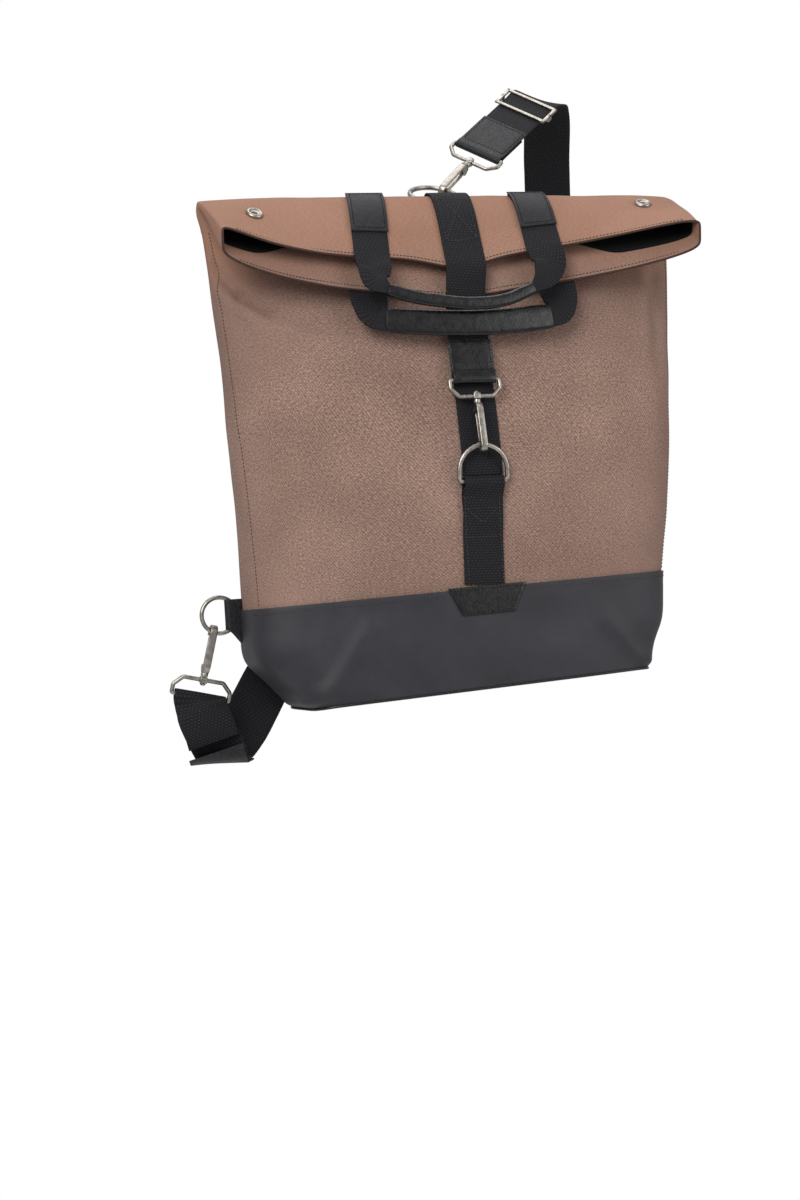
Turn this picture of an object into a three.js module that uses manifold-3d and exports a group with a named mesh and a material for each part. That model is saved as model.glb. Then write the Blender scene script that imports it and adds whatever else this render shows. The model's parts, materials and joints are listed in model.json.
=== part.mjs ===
// A convertible roll-top backpack, closed and worn on one shoulder: a tapering canvas bag on a coated base,
// its mouth folded forward, two carrying handles, a hook that fastens the flap to a D-ring on the front, and
// one wide shoulder strap that hooks to a ring behind the fold and to a ring low at the left.
// Bag frame, before the last group: X to the right as seen from the front, Y towards the wearer, Z up,
// with the middle of the base's floor at zero. The exported group's origin is the seat under the strap's crest.
import * as THREE from "three";
import { mergeVertices } from "three/addons/utils/BufferGeometryUtils.js";
import Module from "manifold-3d";

const wasm = await Module();
wasm.setup();

// Driving dimensions, in millimetres and degrees.
const foldHeight = 463; // floor to the crest of the fold
const topHalfWidth = 232; // half the mouth's flat width
const baseHalfDepth = 62;
const canvasWall = 1.8;
const coatedWall = 1.8;
const liningWall = 0.9;
const gap = 0.3; // between two pieces that touch
const baseSkew = 2.8; // how far the loaded base hangs down at the left
const webbingWidth = 38;
const webbingThickness = 1.8;
const leatherThickness = 1.4;
const strapWidth = 48;
const strapThickness = 1.8;
const gripWall = 1.6;
const outerGripWidth = 12;
const innerGripWidth = 24;
const gripDepth = 7;
const patchWidth = 36;
const wireRadius = 2; // of the three brackets and the low ring
const dRingWireRadius = 2.3;
const dRingWidth = 51;
const dRingHeight = 35;
const topRingRadius = 22.5;
const topRingWireRadius = 2.4;
const lowRingRadius = 16.5;
const bracketHeight = 16; // swivel pin to the bar in the strap's end
const frontBracketWidth = 52;
const shoulderBracketWidth = 58;
const bossSize = 7;
const postRadius = 1.4;
const postClearance = 0.4;
const hookEyeRadius = 4;
const hookStem = 2.6;
const hookWidth = 6.4;
const snapRadius = 8;
const snapHeight = 2.4;
const sliderWidth = 58;
const sliderLength = 26;
const sliderRail = 3.4;
const labelThickness = 1.2;
const tabHeight = 30;

const ringSides = 40; // points round the bag
const wireSides = 6;

const V = (x, y, z) => new THREE.Vector3(x, y, z);
const mix = THREE.MathUtils.lerp;
const radians = THREE.MathUtils.degToRad;

// The bag's sections from the floor, up over the fold and down to the hem. Heights are shares of foldHeight,
// depths of baseHalfDepth, half-widths of topHalfWidth; power is the corner's squareness.
const columns = ["frontZ", "frontY", "backZ", "backY", "left", "right", "power"];
const sections = table(columns, {
  floor: [0.004, -1.0, 0.004, 1.0, 0.7, 0.7, 7],
  kick: [0.048, -1.03, 0.048, 1.03, 0.8, 0.75, 5.2],
  wing: [0.1, -1.04, 0.1, 1.03, 0.893, 0.795, 4.6],
  rim: [0.16, -1.04, 0.16, 1.02, 0.909, 0.815, 4.0],
  seam: [0.2, -1.04, 0.2, 1.0, 0.909, 0.824, 3.8],
  belly: [0.324, -1.03, 0.324, 0.97, 0.918, 0.866, 3.4],
  middle: [0.467, -0.97, 0.467, 0.93, 0.928, 0.905, 3.1],
  chest: [0.648, -0.74, 0.648, 0.8, 0.944, 0.942, 2.9],
  neck: [0.778, -0.47, 0.778, 0.69, 0.961, 0.974, 3.0],
  throat: [0.864, -0.25, 0.864, 0.57, 0.97, 0.987, 3.4],
  foldStart: [0.93, -0.07, 0.938, 0.42, 0.985, 1.0, 4.5],
  foldBack: [0.961, 0.03, 0.978, 0.27, 1.003, 1.003, 6],
  crest: [0.974, -0.06, 1.0, 0.08, 1.006, 1.003, 6],
  foldFront: [0.961, -0.145, 0.989, -0.16, 1.003, 1.0, 6],
  flapTop: [0.93, -0.24, 0.958, -0.36, 1.0, 0.998, 6],
  flapMiddle: [0.864, -0.42, 0.912, -0.53, 0.998, 0.996, 6],
  hem: [0.79, -0.6, 0.862, -0.7, 0.993, 0.99, 6],
});
// The same rows at the two ends of the mouth, where the flap stands forward and the mouth stays open.
const mouthEnds = table(["frontZ", "frontY", "backZ", "backY"], {
  crest: [0.974, -0.06, 1.0, 0.08],
  foldFront: [0.957, -0.22, 0.99, -0.2],
  flapTop: [0.93, -0.46, 0.975, -0.5],
  flapMiddle: [0.893, -0.82, 0.955, -0.88],
  hem: [0.852, -1.19, 0.931, -1.26],
});
const row = Object.fromEntries(Object.keys(sections).map((name, i) => [name, i]));
const hemRow = row.hem;
const seamRow = row.seam;

const skewReach = 0.65; // share of foldHeight over which the base's skew fades out
const forwardPower = 2.5; // how late along the mouth its ends come forward
const risePower = { left: { outer: 3.5, inner: 2.2 }, right: { outer: 1.6, inner: 1.5 } };
const strapPull = { outer: 9, inner: 4, halfWidth: 38 }; // how far the closing strap draws the hems down

function table(names, rows) {
  return Object.fromEntries(
    Object.entries(rows).map(([key, values]) => [key, Object.fromEntries(names.map((n, i) => [n, values[i]]))]),
  );
}

// Catmull-Rom value of a column, with rows counted from zero.
function along(rows, column, t) {
  const names = Object.keys(rows);
  const last = names.length - 1;
  const i = Math.min(Math.max(Math.floor(t), 0), last - 1);
  const f = t - i;
  const at = (k) => rows[names[Math.min(Math.max(k, 0), last)]][column];
  const [a, b, c, d] = [i - 1, i, i + 1, i + 2].map(at);
  return b + 0.5 * f * (c - a + f * (2 * a - 5 * b + 4 * c - d + f * (3 * (b - c) + d - a)));
}

// One wall of the bag (side 1 is the back, which the fold turns outwards; -1 the front) at width share xi.
function wall(xi, side, t) {
  const [zName, yName] = side > 0 ? ["backZ", "backY"] : ["frontZ", "frontY"];
  let z = along(sections, zName, t);
  let y = along(sections, yName, t);
  if (t > row.crest) {
    const rise = risePower[xi < 0 ? "left" : "right"][side > 0 ? "outer" : "inner"];
    z = mix(z, along(mouthEnds, zName, t - row.crest), Math.abs(xi) ** rise);
    y = mix(y, along(mouthEnds, yName, t - row.crest), Math.abs(xi) ** forwardPower);
  }
  const flap = Math.min(Math.max((t - row.foldFront) / (hemRow - row.foldFront), 0), 1);
  const pull = side > 0 ? strapPull.outer : strapPull.inner;
  const drop = pull * flap * Math.exp(-(((xi * topHalfWidth) / strapPull.halfWidth) ** 2));
  return { y: y * baseHalfDepth, z: z * foldHeight - drop };
}

const halfWidth = (end, t) => along(sections, end, t) * topHalfWidth;

// A point of the bag's outside: phi goes round the section from the right tip over the back.
function skin(phi, t) {
  const xi = Math.cos(phi);
  const power = along(sections, "power", t);
  const eta = Math.sign(Math.sin(phi)) * Math.max(0, 1 - Math.abs(xi) ** power) ** (1 / power);
  const back = wall(xi, 1, t);
  const front = wall(xi, -1, t);
  const x = xi * halfWidth(xi < 0 ? "left" : "right", t);
  const z = mix(front.z, back.z, (1 + eta) / 2);
  const skew = Math.tan(radians(baseSkew)) * Math.max(0, 1 - z / (skewReach * foldHeight));
  return V(x, mix(front.y, back.y, (1 + eta) / 2), z + x * skew);
}

// The outward normal there, from the two directions of the surface.
function outward(phi, t) {
  const dPhi = Math.PI / ringSides;
  const dT = 0.08;
  const [low, high] = [Math.max(t - dT, 0), Math.min(t + dT, hemRow)];
  const round = skin(phi + dPhi, t).sub(skin(phi - dPhi, t));
  const up = skin(phi, high).sub(skin(phi, low));
  return round.cross(up).normalize();
}

const lifted = (phi, t, lift) => skin(phi, t).addScaledVector(outward(phi, t), lift);
const phiAt = (x, t, side) => side * Math.acos(Math.min(Math.max(x / halfWidth(x < 0 ? "left" : "right", t), -1), 1));

// The row position at which a wall passes height z above x, between two rows.
function rowAt(x, z, side, from, to) {
  const height = (t) => skin(phiAt(x, t, side), t).z;
  let [a, b] = height(from) < height(to) ? [from, to] : [to, from];
  for (let i = 0; i < 40; i++) {
    const middle = (a + b) / 2;
    if (height(middle) < z) a = middle;
    else b = middle;
  }
  return (a + b) / 2;
}

// A station of a band that lies on the bag at x and row t, its middle raised by lift.
function onBag(x, t, side, lift, width, thickness) {
  const phi = phiAt(x, t, side);
  return { p: lifted(phi, t, lift), n: outward(phi, t), w: width, h: thickness };
}

// A station of a band on the front panel, at a height.
const onPanel = (x, z, lift, width, thickness) =>
  onBag(x, rowAt(x, z, -1, row.seam, row.foldStart), -1, lift, width, thickness);

const station = (x, y, z, n, w, h) => ({ p: V(x, y, z), n: V(...n), w, h });

// Skins a row of rings of points into one closed body: open rows get flat ends, closed ones join up.
function loft(rings, closed = false) {
  const count = rings[0].length;
  const positions = rings.flat().flatMap((p) => [p.x, p.y, p.z]);
  const index = [];
  const spans = closed ? rings.length : rings.length - 1;
  for (let i = 0; i < spans; i++) {
    const next = (i + 1) % rings.length;
    for (let j = 0; j < count; j++) {
      const k = (j + 1) % count;
      index.push(i * count + j, next * count + j, next * count + k);
      index.push(i * count + j, next * count + k, i * count + k);
    }
  }
  if (!closed) {
    const end = (rings.length - 1) * count;
    for (let j = 0; j < count / 2 - 1; j++) {
      const [a, b, c, d] = [j, j + 1, count - 2 - j, count - 1 - j];
      index.push(a, b, c, a, c, d);
      index.push(end + a, end + c, end + b, end + a, end + d, end + c);
    }
  }
  const g = new THREE.BufferGeometry();
  g.setAttribute("position", new THREE.Float32BufferAttribute(positions, 3));
  g.setIndex(index);
  return facingOut(g);
}

// Turns the faces round where they enclose a negative volume.
function facingOut(g) {
  const p = g.attributes.position;
  const [a, b, c] = [V(0, 0, 0), V(0, 0, 0), V(0, 0, 0)];
  let volume = 0;
  for (let i = 0; i < g.index.count; i += 3) {
    [a, b, c].forEach((v, k) => v.fromBufferAttribute(p, g.index.getX(i + k)));
    volume += a.dot(b.cross(c));
  }
  if (volume < 0) g.setIndex(Array.from(g.index.array).reverse());
  return g;
}

// Sections for sweep: corners as [across, out] shares of a station's width and thickness.
const flatSection = [[-0.5, -0.5], [0.5, -0.5], [0.5, 0.5], [-0.5, 0.5]];
const roundSection = (sides) =>
  Array.from({ length: sides }, (_, i) => {
    const angle = (2 * Math.PI * (i + 0.5)) / sides;
    return [Math.cos(angle) / 2, Math.sin(angle) / 2];
  });

// Carries a section along stations {p, n, w, h}: n is the way the face looks. Corners are mitred.
function sweep(stations, section = flatSection, closed = false) {
  const count = stations.length;
  const rings = stations.map((s, i) => {
    const before = closed ? stations[(i + count - 1) % count] : stations[i - 1];
    const after = closed ? stations[(i + 1) % count] : stations[i + 1];
    const into = before ? s.p.clone().sub(before.p).normalize() : after.p.clone().sub(s.p).normalize();
    const out = after ? after.p.clone().sub(s.p).normalize() : into.clone();
    const tangent = into.clone().add(out).normalize();
    const across = into.clone().cross(s.n).normalize();
    const face = across.clone().cross(into).normalize();
    return section.map(([u, v]) => {
      const offset = across.clone().multiplyScalar(u * s.w).addScaledVector(face, v * s.h);
      return s.p.clone().add(offset).addScaledVector(into, -offset.dot(tangent) / into.dot(tangent));
    });
  });
  return loft(rings, closed);
}

// Stations spread evenly over a smooth curve through a few chosen ones.
function smoothed(stations, steps) {
  const path = new THREE.CatmullRomCurve3(stations.map((s) => s.p), false, "centripetal");
  const faces = new THREE.CatmullRomCurve3(stations.map((s) => s.n), false, "catmullrom");
  const sizes = new THREE.CatmullRomCurve3(stations.map((s) => V(s.w, s.h, 0)), false, "catmullrom");
  return Array.from({ length: steps + 1 }, (_, i) => {
    const u = i / steps;
    const size = sizes.getPoint(u);
    return { p: path.getPoint(u), n: faces.getPoint(u).normalize(), w: size.x, h: size.y };
  });
}

// A pad on the bag's outside between two x and two rows, its faces raised by lift and lift + thickness.
function pad(x0, x1, t0, t1, side, lift, thickness, nx = 3, nt = 3) {
  const rings = Array.from({ length: nx + 1 }, (_, i) => {
    const x = mix(x0, x1, i / nx);
    const lower = [];
    const upper = [];
    for (let j = 0; j <= nt; j++) {
      const t = mix(t0, t1, j / nt);
      const phi = phiAt(x, t, side);
      lower.push(lifted(phi, t, lift));
      upper.unshift(lifted(phi, t, lift + thickness));
    }
    return [...lower, ...upper];
  });
  return loft(rings);
}

// Booleans.
function solidOf(geometry) {
  const merged = mergeVertices(stripped(geometry.clone()), 1e-4);
  return new wasm.Manifold(
    new wasm.Mesh({
      numProp: 3,
      vertProperties: merged.attributes.position.array,
      triVerts: new Uint32Array(merged.index.array),
    }),
  );
}

function geometryOf(solid) {
  const m = solid.getMesh();
  const g = new THREE.BufferGeometry();
  g.setAttribute("position", new THREE.BufferAttribute(m.vertProperties, 3));
  g.setIndex(new THREE.BufferAttribute(m.triVerts, 1));
  return g;
}

const join = (first, ...others) => geometryOf(others.reduce((sum, g) => sum.add(solidOf(g)), solidOf(first)));
const cut = (from, ...tools) => geometryOf(tools.reduce((left, g) => left.subtract(solidOf(g)), solidOf(from)));

// Materials: colour, roughness, metalness.
const finish = (color, roughness, metalness = 0) => new THREE.MeshStandardMaterial({ color, roughness, metalness });
const canvas = finish(0x8a6c58, 0.95);
const coated = finish(0x3c3c3f, 0.6);
const webbing = finish(0x1b1a1c, 0.85);
const leather = finish(0x131315, 0.4);
const greyLeather = finish(0x37373a, 0.55);
const lining = finish(0x0e0e10, 0.8);
const nickel = finish(0xa9a49b, 0.35, 1);

const bagGroup = new THREE.Group();
function add(name, geometry, material, parent = bagGroup) {
  const mesh = new THREE.Mesh(geometry, material);
  mesh.name = name;
  parent.add(mesh);
  return mesh;
}

const phis = (count) => Array.from({ length: count }, (_, i) => (2 * Math.PI * (i + 0.5)) / count);
const rows = (from, to, count) => Array.from({ length: count + 1 }, (_, i) => mix(from, to, i / count));

// The bag: a canvas tube, closed round each wall, standing in a coated tray.
function shell(ts, liftOut, thickness) {
  return loft(
    phis(ringSides).map((phi) => [
      ...ts.map((t) => lifted(phi, t, liftOut)),
      ...ts.toReversed().map((t) => lifted(phi, t, liftOut - thickness)),
    ]),
    true,
  );
}

function plug(from, to, steps, lift, extra) {
  const rings = rows(from, to, steps).map((t) => phis(ringSides).map((phi) => lifted(phi, t, lift)));
  if (extra) rings.push(rings.at(-1).map((p) => p.clone().add(V(0, 0, extra))));
  return rings;
}

function buildBag() {
  const bodyRows = [...rows(row.rim, row.neck, 5), ...rows(row.neck + 0.5, hemRow, 15)];
  add("canvas_body", shell(bodyRows, 0, canvasWall), canvas);
  const trayLift = gap + coatedWall;
  const outside = plug(0, seamRow, 4, trayLift);
  const inside = plug(0, seamRow, 4, gap, coatedWall);
  const floorZ = coatedWall / outside[0][0].distanceTo(outside[1][0]);
  inside[0] = inside[0].map((p, i) => p.clone().lerp(inside[1][i], 2 * floorZ));
  add("base_panel", cut(loft(outside), loft(inside)), coated);
  const liningLift = -canvasWall - gap;
  add("mouth_lining", shell(rows(hemRow - 0.5, row.crest + 0.5, 6), liningLift, liningWall), lining);
}

// Webbing down the front: the closing strap over the fold, the ring's strap and the one under both.
const strapX = 4;
const panelLift = gap + webbingThickness / 2;
const closureBar = { x: 2.5, y: -58.5, z: 283.5 };
const overFlap = 1; // the strap stands off the flap a little
const closureLean = 13; // how far the strap's end leans back towards the fold
const dRingBar = { x: 2.5, z: 190 };
const ringTopZ = dRingBar.z + dRingHeight - 2 * dRingWireRadius;

function buildClosure() {
  const on = (t) => onBag(strapX + 2, t, 1, panelLift + overFlap, webbingWidth, webbingThickness);
  const stations = rows(row.foldBack, hemRow, 10).map(on);
  const lean = radians(closureLean);
  const upStrap = (d) =>
    station(
      closureBar.x, closureBar.y + d * Math.sin(lean), closureBar.z + d * Math.cos(lean), [0, -1, 0],
      webbingWidth, webbingThickness,
    );
  const free = [station(4, -46.5, 372, [0, -1, -0.1], webbingWidth, webbingThickness), ...[52, 30, 12].map(upStrap)];
  add("closure_webbing", sweep([...stations, ...free]), webbing);
  const legs = foldedEnd({ radius: wireRadius, core: webbingThickness, front: 38, back: 32, width: webbingWidth + 3 });
  const piece = add("closure_leather", legs, leather);
  piece.position.set(closureBar.x, closureBar.y, closureBar.z);
  piece.rotation.x = -lean;

  const under = rows(dRingBar.z + 8, closureBar.z + 16, 4).map((z) =>
    onPanel(strapX, z, panelLift, webbingWidth, webbingThickness),
  );
  add("under_webbing", sweep(under), webbing);
}

// A leather end folded round a bracket's bar: local Z runs along the strap, away from the bar.
function foldedEnd({ radius, core, front, back, width }) {
  const turn = radius + gap + leatherThickness / 2;
  const ply = core / 2 + gap + leatherThickness / 2;
  const at = (y, z, n) => station(0, y, z, n, width, leatherThickness);
  const arc = rows(0, Math.PI, 6).map((a) => at(-turn * Math.cos(a), -turn * Math.sin(a), [0, -Math.cos(a), -Math.sin(a)]));
  return sweep([
    at(-ply, front, [0, -1, 0]),
    at(-ply, 10, [0, -1, 0]),
    ...arc,
    at(ply, 10, [0, 1, 0]),
    at(ply, back, [0, 1, 0]),
  ]);
}

function buildRingStrap() {
  const bar = onPanel(dRingBar.x, dRingBar.z, 0, 0, 0);
  const turn = dRingWireRadius + 2 * gap + webbingThickness / 2;
  const centre = bar.p.clone().add(V(0, -(panelLift + turn), 0));
  const arc = rows(0, Math.PI, 6).map((a) =>
    station(centre.x, centre.y + turn * Math.cos(a), centre.z + turn * Math.sin(a), [0, Math.cos(a), Math.sin(a)], webbingWidth, webbingThickness),
  );
  const innerEnd = station(1, 0, 0, [0, 1, 0], webbingWidth, webbingThickness);
  innerEnd.p = onPanel(1, dRingBar.z - 26, panelLift, 0, 0).p;
  const lift = 2 * gap + 1.5 * webbingThickness;
  const front = [
    { ...onPanel(0.8, dRingBar.z - 16, lift + 1, webbingWidth, webbingThickness) },
    { ...onPanel(0.4, dRingBar.z - 30, lift, webbingWidth, webbingThickness) },
    { ...onPanel(-0.6, dRingBar.z - 52, panelLift, webbingWidth, webbingThickness) },
    { ...onPanel(-2, seamHeight() + 3, panelLift, webbingWidth, webbingThickness) },
  ];
  add("ring_webbing", sweep([innerEnd, ...arc, ...front]), webbing);

  const half = dRingWidth / 2 - dRingWireRadius;
  const straight = dRingHeight - dRingWireRadius - half;
  const lean = V(0, -4, 0);
  const points = [V(-half, 0, 0), V(half, 0, 0)];
  for (const a of rows(0, Math.PI, 12)) points.push(V(half * Math.cos(a), 0, straight + half * Math.sin(a)));
  const size = 2 * dRingWireRadius;
  const wire = points.map((p) => ({
    p: p.clone().addScaledVector(lean, p.z / dRingHeight),
    n: V(0, 1, 0),
    w: size,
    h: size,
  }));
  const ring = add("front_d_ring", sweep(wire, roundSection(wireSides), true), nickel);
  ring.position.copy(centre);
  return { centre, eye: V(centre.x, centre.y + lean.y, centre.z + straight + half) };
}

const seamHeight = () => skin(-Math.PI / 2, seamRow).z;

// A bracket with a swivelling snap hook. Local frame: the pin at the origin, Z towards the strap's bar,
// X along the bar; the hook hangs down -Z and bends in the plane that spin turns about Z.
function hookSet(name, { pin, bar, eye, lateral, width, spin = 0, flip = 1 }) {
  const z = bar.clone().sub(pin).normalize();
  const x = lateral.clone().addScaledVector(z, -lateral.dot(z)).normalize();
  const set = new THREE.Group();
  set.position.copy(pin);
  set.quaternion.setFromRotationMatrix(new THREE.Matrix4().makeBasis(x, z.clone().cross(x), z));
  bagGroup.add(set);
  const height = bar.distanceTo(pin);
  const half = width / 2 - wireRadius;
  const chamfer = 8;
  const size = 2 * wireRadius;
  const corners = [
    [-half + chamfer, 0], [half - chamfer, 0], [half, chamfer], [half, height], [-half, height], [-half, chamfer],
  ];
  const wire = corners.map(([cx, cz]) => ({ p: V(cx, 0, cz), n: V(0, 1, 0), w: size, h: size }));
  const hole = new THREE.CylinderGeometry(postRadius + postClearance, postRadius + postClearance, 3 * bossSize, 12);
  hole.rotateX(Math.PI / 2);
  const boss = new THREE.BoxGeometry(bossSize, bossSize, bossSize - 1);
  const frame = cut(join(sweep(wire, roundSection(wireSides), true), boss), hole);
  add(`${name}_bracket`, frame, nickel, set);

  const hook = new THREE.Group();
  hook.rotation.z = spin;
  set.add(hook);
  const length = eye.distanceTo(pin);
  add(`${name}_hook`, hookBody(length, flip), nickel, hook);
  add(`${name}_gate`, hookGate(length, flip), nickel, hook);
  return set;
}

const gateTop = 15;
const tipRise = 4;
const gateGap = 0.4;

function hookBody(length, flip) {
  const inner = hookEyeRadius;
  const outer = hookEyeRadius + hookStem;
  const shape = new THREE.Shape();
  shape.moveTo(-outer, -12);
  shape.lineTo(-3.4, -6.5);
  shape.lineTo(3.4, -6.5);
  shape.lineTo(outer, -10.5);
  shape.lineTo(outer, -gateTop + 1);
  shape.lineTo(inner - 0.6, -gateTop + 1);
  shape.lineTo(-inner, -gateTop - 2);
  shape.lineTo(-inner, -length);
  shape.absarc(0, -length, inner, Math.PI, 2 * Math.PI, false);
  shape.lineTo(inner, -length + tipRise);
  shape.lineTo(outer, -length + tipRise);
  shape.lineTo(outer, -length);
  shape.absarc(0, -length, outer, 2 * Math.PI, Math.PI, true);
  shape.lineTo(-outer, -12);
  const flat = new THREE.ExtrudeGeometry(shape, { depth: hookWidth, bevelEnabled: false, curveSegments: 7 });
  flat.translate(0, 0, -hookWidth / 2);
  flat.applyMatrix4(new THREE.Matrix4().makeBasis(V(0, flip, 0), V(0, 0, 1), V(flip, 0, 0)));
  const halfBoss = (bossSize - 1) / 2;
  const profile = [
    [0, -7.5], [3.4, -7.5], [3.4, -halfBoss - gap], [postRadius, -halfBoss - gap],
    [postRadius, halfBoss + gap], [2.7, halfBoss + gap], [2.2, halfBoss + gap + 1.7], [0, halfBoss + gap + 1.9],
  ];
  const pin = new THREE.LatheGeometry(profile.map(([r, h]) => new THREE.Vector2(r, h)), 12);
  pin.rotateX(Math.PI / 2);
  return join(facingOut(mergeVertices(stripped(flat), 1e-4)), facingOut(mergeVertices(stripped(pin), 1e-4)));
}

function stripped(geometry) {
  geometry.deleteAttribute("normal");
  geometry.deleteAttribute("uv");
  return geometry;
}

// The sprung gate between the hook's shoulder and its tip, in the middle of the stem's width.
function hookGate(length, flip) {
  const middle = hookEyeRadius + hookStem / 2;
  const radius = hookStem / 2;
  const top = -gateTop + 1 - gateGap - radius;
  const bottom = -length + tipRise + gateGap;
  const shape = new THREE.Shape();
  shape.moveTo(middle - radius, top);
  shape.absarc(middle, top, radius, Math.PI, 0, true);
  shape.lineTo(middle + radius, bottom);
  shape.lineTo(middle - radius, bottom);
  const depth = hookWidth * 0.55;
  const bar = new THREE.ExtrudeGeometry(shape, { depth, bevelEnabled: false, curveSegments: 6 });
  bar.translate(0, 0, -depth / 2);
  bar.applyMatrix4(new THREE.Matrix4().makeBasis(V(0, flip, 0), V(0, 0, 1), V(flip, 0, 0)));
  return facingOut(mergeVertices(stripped(bar), 1e-4));
}

// Handles. The outer pair of legs hangs from two leather patches, the inner pair from under the inner hem.
function buildHandles() {
  const thin = webbingThickness;
  const patchTop = row.crest + 0.5;
  const ends = { left: -75, right: 88 };
  for (const [end, x] of Object.entries(ends)) {
    const lift = 3 * gap + thin;
    const patch = pad(x - patchWidth / 2, x + patchWidth / 2, patchTop, row.flapMiddle, 1, lift, leatherThickness, 3, 5);
    add(`handle_patch_${end}`, patch, greyLeather);
  }
  const leg = (x) => rows(patchTop, hemRow, 7).map((t) => onBag(x, t, 1, panelLift + gap, webbingWidth - 4, thin));
  const out = [0, -1, 0.1];
  const outer = [
    leg(ends.left).at(-1),
    station(-75, -54, 389, out, 32, thin),
    station(-70, -60, 377, out, 24, 3),
    station(-57, -64, 367, out, outerGripWidth - 2 * gripWall, 3.4),
    station(-30, -66, 357, out, outerGripWidth - 2 * gripWall, 3.4),
    station(3, -67, 352.5, out, outerGripWidth - 2 * gripWall, 3.4),
    station(36, -66, 355.5, out, outerGripWidth - 2 * gripWall, 3.4),
    station(64, -64, 366, out, outerGripWidth - 2 * gripWall, 3.4),
    station(80, -60, 377, out, 24, 3),
    station(88, -54, 391, out, 32, thin),
    leg(ends.right).at(-1),
  ];
  const outerPath = smoothed(outer, 32);
  const outerBand = [...leg(ends.left).slice(0, -1), ...outerPath, ...leg(ends.right).slice(0, -1).reverse()];
  add("outer_handle_webbing", sweep(outerBand), webbing);
  add("outer_grip", wrap(outerPath, -60, 66, outerGripWidth), leather);

  const under = (x) =>
    rows(row.flapTop, hemRow, 4).map((t) => {
      const s = onBag(x, t, -1, panelLift, webbingWidth - 2, thin);
      s.n.negate();
      return s;
    });
  const innerWidth = innerGripWidth - 2 * gripWall - 2 * gap;
  const inner = [
    under(-82).at(-1),
    station(-82, -46, 357, [0, -1, 0.3], 34, thin),
    station(-78, -52, 346, [0, -1, 0.3], 27, thin),
    station(-66, -57, 340, out, innerWidth, 3),
    station(-30, -60, 336.5, out, innerWidth, 3),
    station(5, -61, 335.5, out, innerWidth, 3),
    station(40, -60, 336.5, out, innerWidth, 3),
    station(77, -57, 340, out, innerWidth, 3),
    station(89, -52, 346, [0, -1, 0.3], 27, thin),
    station(93, -46, 357, [0, -1, 0.3], 34, thin),
    under(93).at(-1),
  ];
  const innerPath = smoothed(inner, 32);
  const innerBand = [...under(-82).slice(0, -1), ...innerPath, ...under(93).slice(0, -1).reverse()];
  add("inner_handle_webbing", sweep(innerBand), webbing);
  add("inner_grip", wrap(innerPath, -73, 84, innerGripWidth), leather);
}

// A leather sleeve round the stretch of a band between two x.
function wrap(path, x0, x1, width) {
  const first = path.findIndex((s) => s.p.x > x0 && s.p.z < 375);
  const last = path.findLastIndex((s) => s.p.x < x1 && s.p.z < 375);
  const sized = (s, w, h) => ({ ...s, w, h });
  const outer = path.slice(first, last + 1).map((s) => sized(s, width, gripDepth));
  const core = path.slice(first - 1, last + 2).map((s) => sized(s, s.w + 3 * gap, s.h + 3 * gap));
  const sides = 10;
  const soft = roundSection(sides).map(([u, v]) => [softened(u), softened(v)]);
  return cut(sweep(outer, soft), sweep(core));
}

// Draws a circle's half-unit coordinate out towards a square.
const softened = (u) => 0.5 * Math.sign(u) * Math.abs(2 * u) ** 0.6;

// Spring snap sockets near the ends of the fold.
function buildSnaps() {
  const places = { left: [-189, 441.5], right: [193, 448] };
  const hole = 2.6;
  for (const [end, [x, z]] of Object.entries(places)) {
    const t = rowAt(x, z, 1, row.foldFront, hemRow);
    const phi = phiAt(x, t, 1);
    const profile = [
      [hole, 0], [snapRadius, 0], [snapRadius, 0.9], [snapRadius - 1.6, snapHeight], [5, snapHeight - 0.9], [hole, 1],
      [hole, 0],
    ];
    const ring = new THREE.LatheGeometry(profile.map(([r, h]) => new THREE.Vector2(r, h)), 14);
    const snap = add(`snap_${end}`, facingOut(mergeVertices(stripped(ring), 1e-4)), nickel);
    snap.position.copy(lifted(phi, t, gap + 0.5));
    snap.quaternion.setFromUnitVectors(V(0, 1, 0), outward(phi, t));
  }
}

// The ring behind the fold and the webbing loop that holds it.
const topRing = { x: 11, y: 53.5, z: 473, lean: 30 };
const topEyeAngle = 45;

function topRingPoint(angle) {
  const a = radians(angle);
  const lean = radians(topRing.lean);
  return V(
    topRing.x + topRingRadius * Math.cos(a),
    topRing.y + topRingRadius * Math.sin(a) * Math.cos(lean),
    topRing.z + topRingRadius * Math.sin(a) * Math.sin(lean),
  );
}

function buildTopRing() {
  const torus = new THREE.TorusGeometry(topRingRadius, topRingWireRadius, wireSides, 28);
  const ring = add("top_ring", facingOut(mergeVertices(stripped(torus), 1e-4)), nickel);
  ring.position.set(topRing.x, topRing.y, topRing.z);
  ring.rotation.x = radians(topRing.lean);
  const near = topRingPoint(-90).lerp(V(topRing.x, topRing.y, topRing.z), 0.75 / topRingRadius);
  const loopWidth = 16;
  const sagitta = topRingRadius - Math.sqrt(topRingRadius ** 2 - (loopWidth / 2) ** 2);
  const turn = topRingWireRadius + 2 * gap + sagitta / 2 + webbingThickness / 2;
  const on = (z, lift) => {
    const t = rowAt(topRing.x, z, 1, row.neck, row.foldBack);
    return onBag(topRing.x, t, 1, lift, loopWidth, webbingThickness);
  };
  const arc = rows(0.15 * Math.PI, 1.1 * Math.PI, 7).map((a) =>
    station(near.x, near.y - turn * Math.cos(a), near.z + turn * Math.sin(a), [0, -Math.cos(a), Math.sin(a)], loopWidth, webbingThickness),
  );
  const first = [on(400, panelLift), on(420, panelLift), on(438, panelLift)];
  first.forEach((s) => s.n.negate());
  const second = [on(436, panelLift + gap + webbingThickness + 0.6), on(420, panelLift + gap + webbingThickness), on(402, panelLift + gap + webbingThickness)];
  add("top_ring_loop", sweep([...first, ...arc, ...second]), webbing);
}

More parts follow.
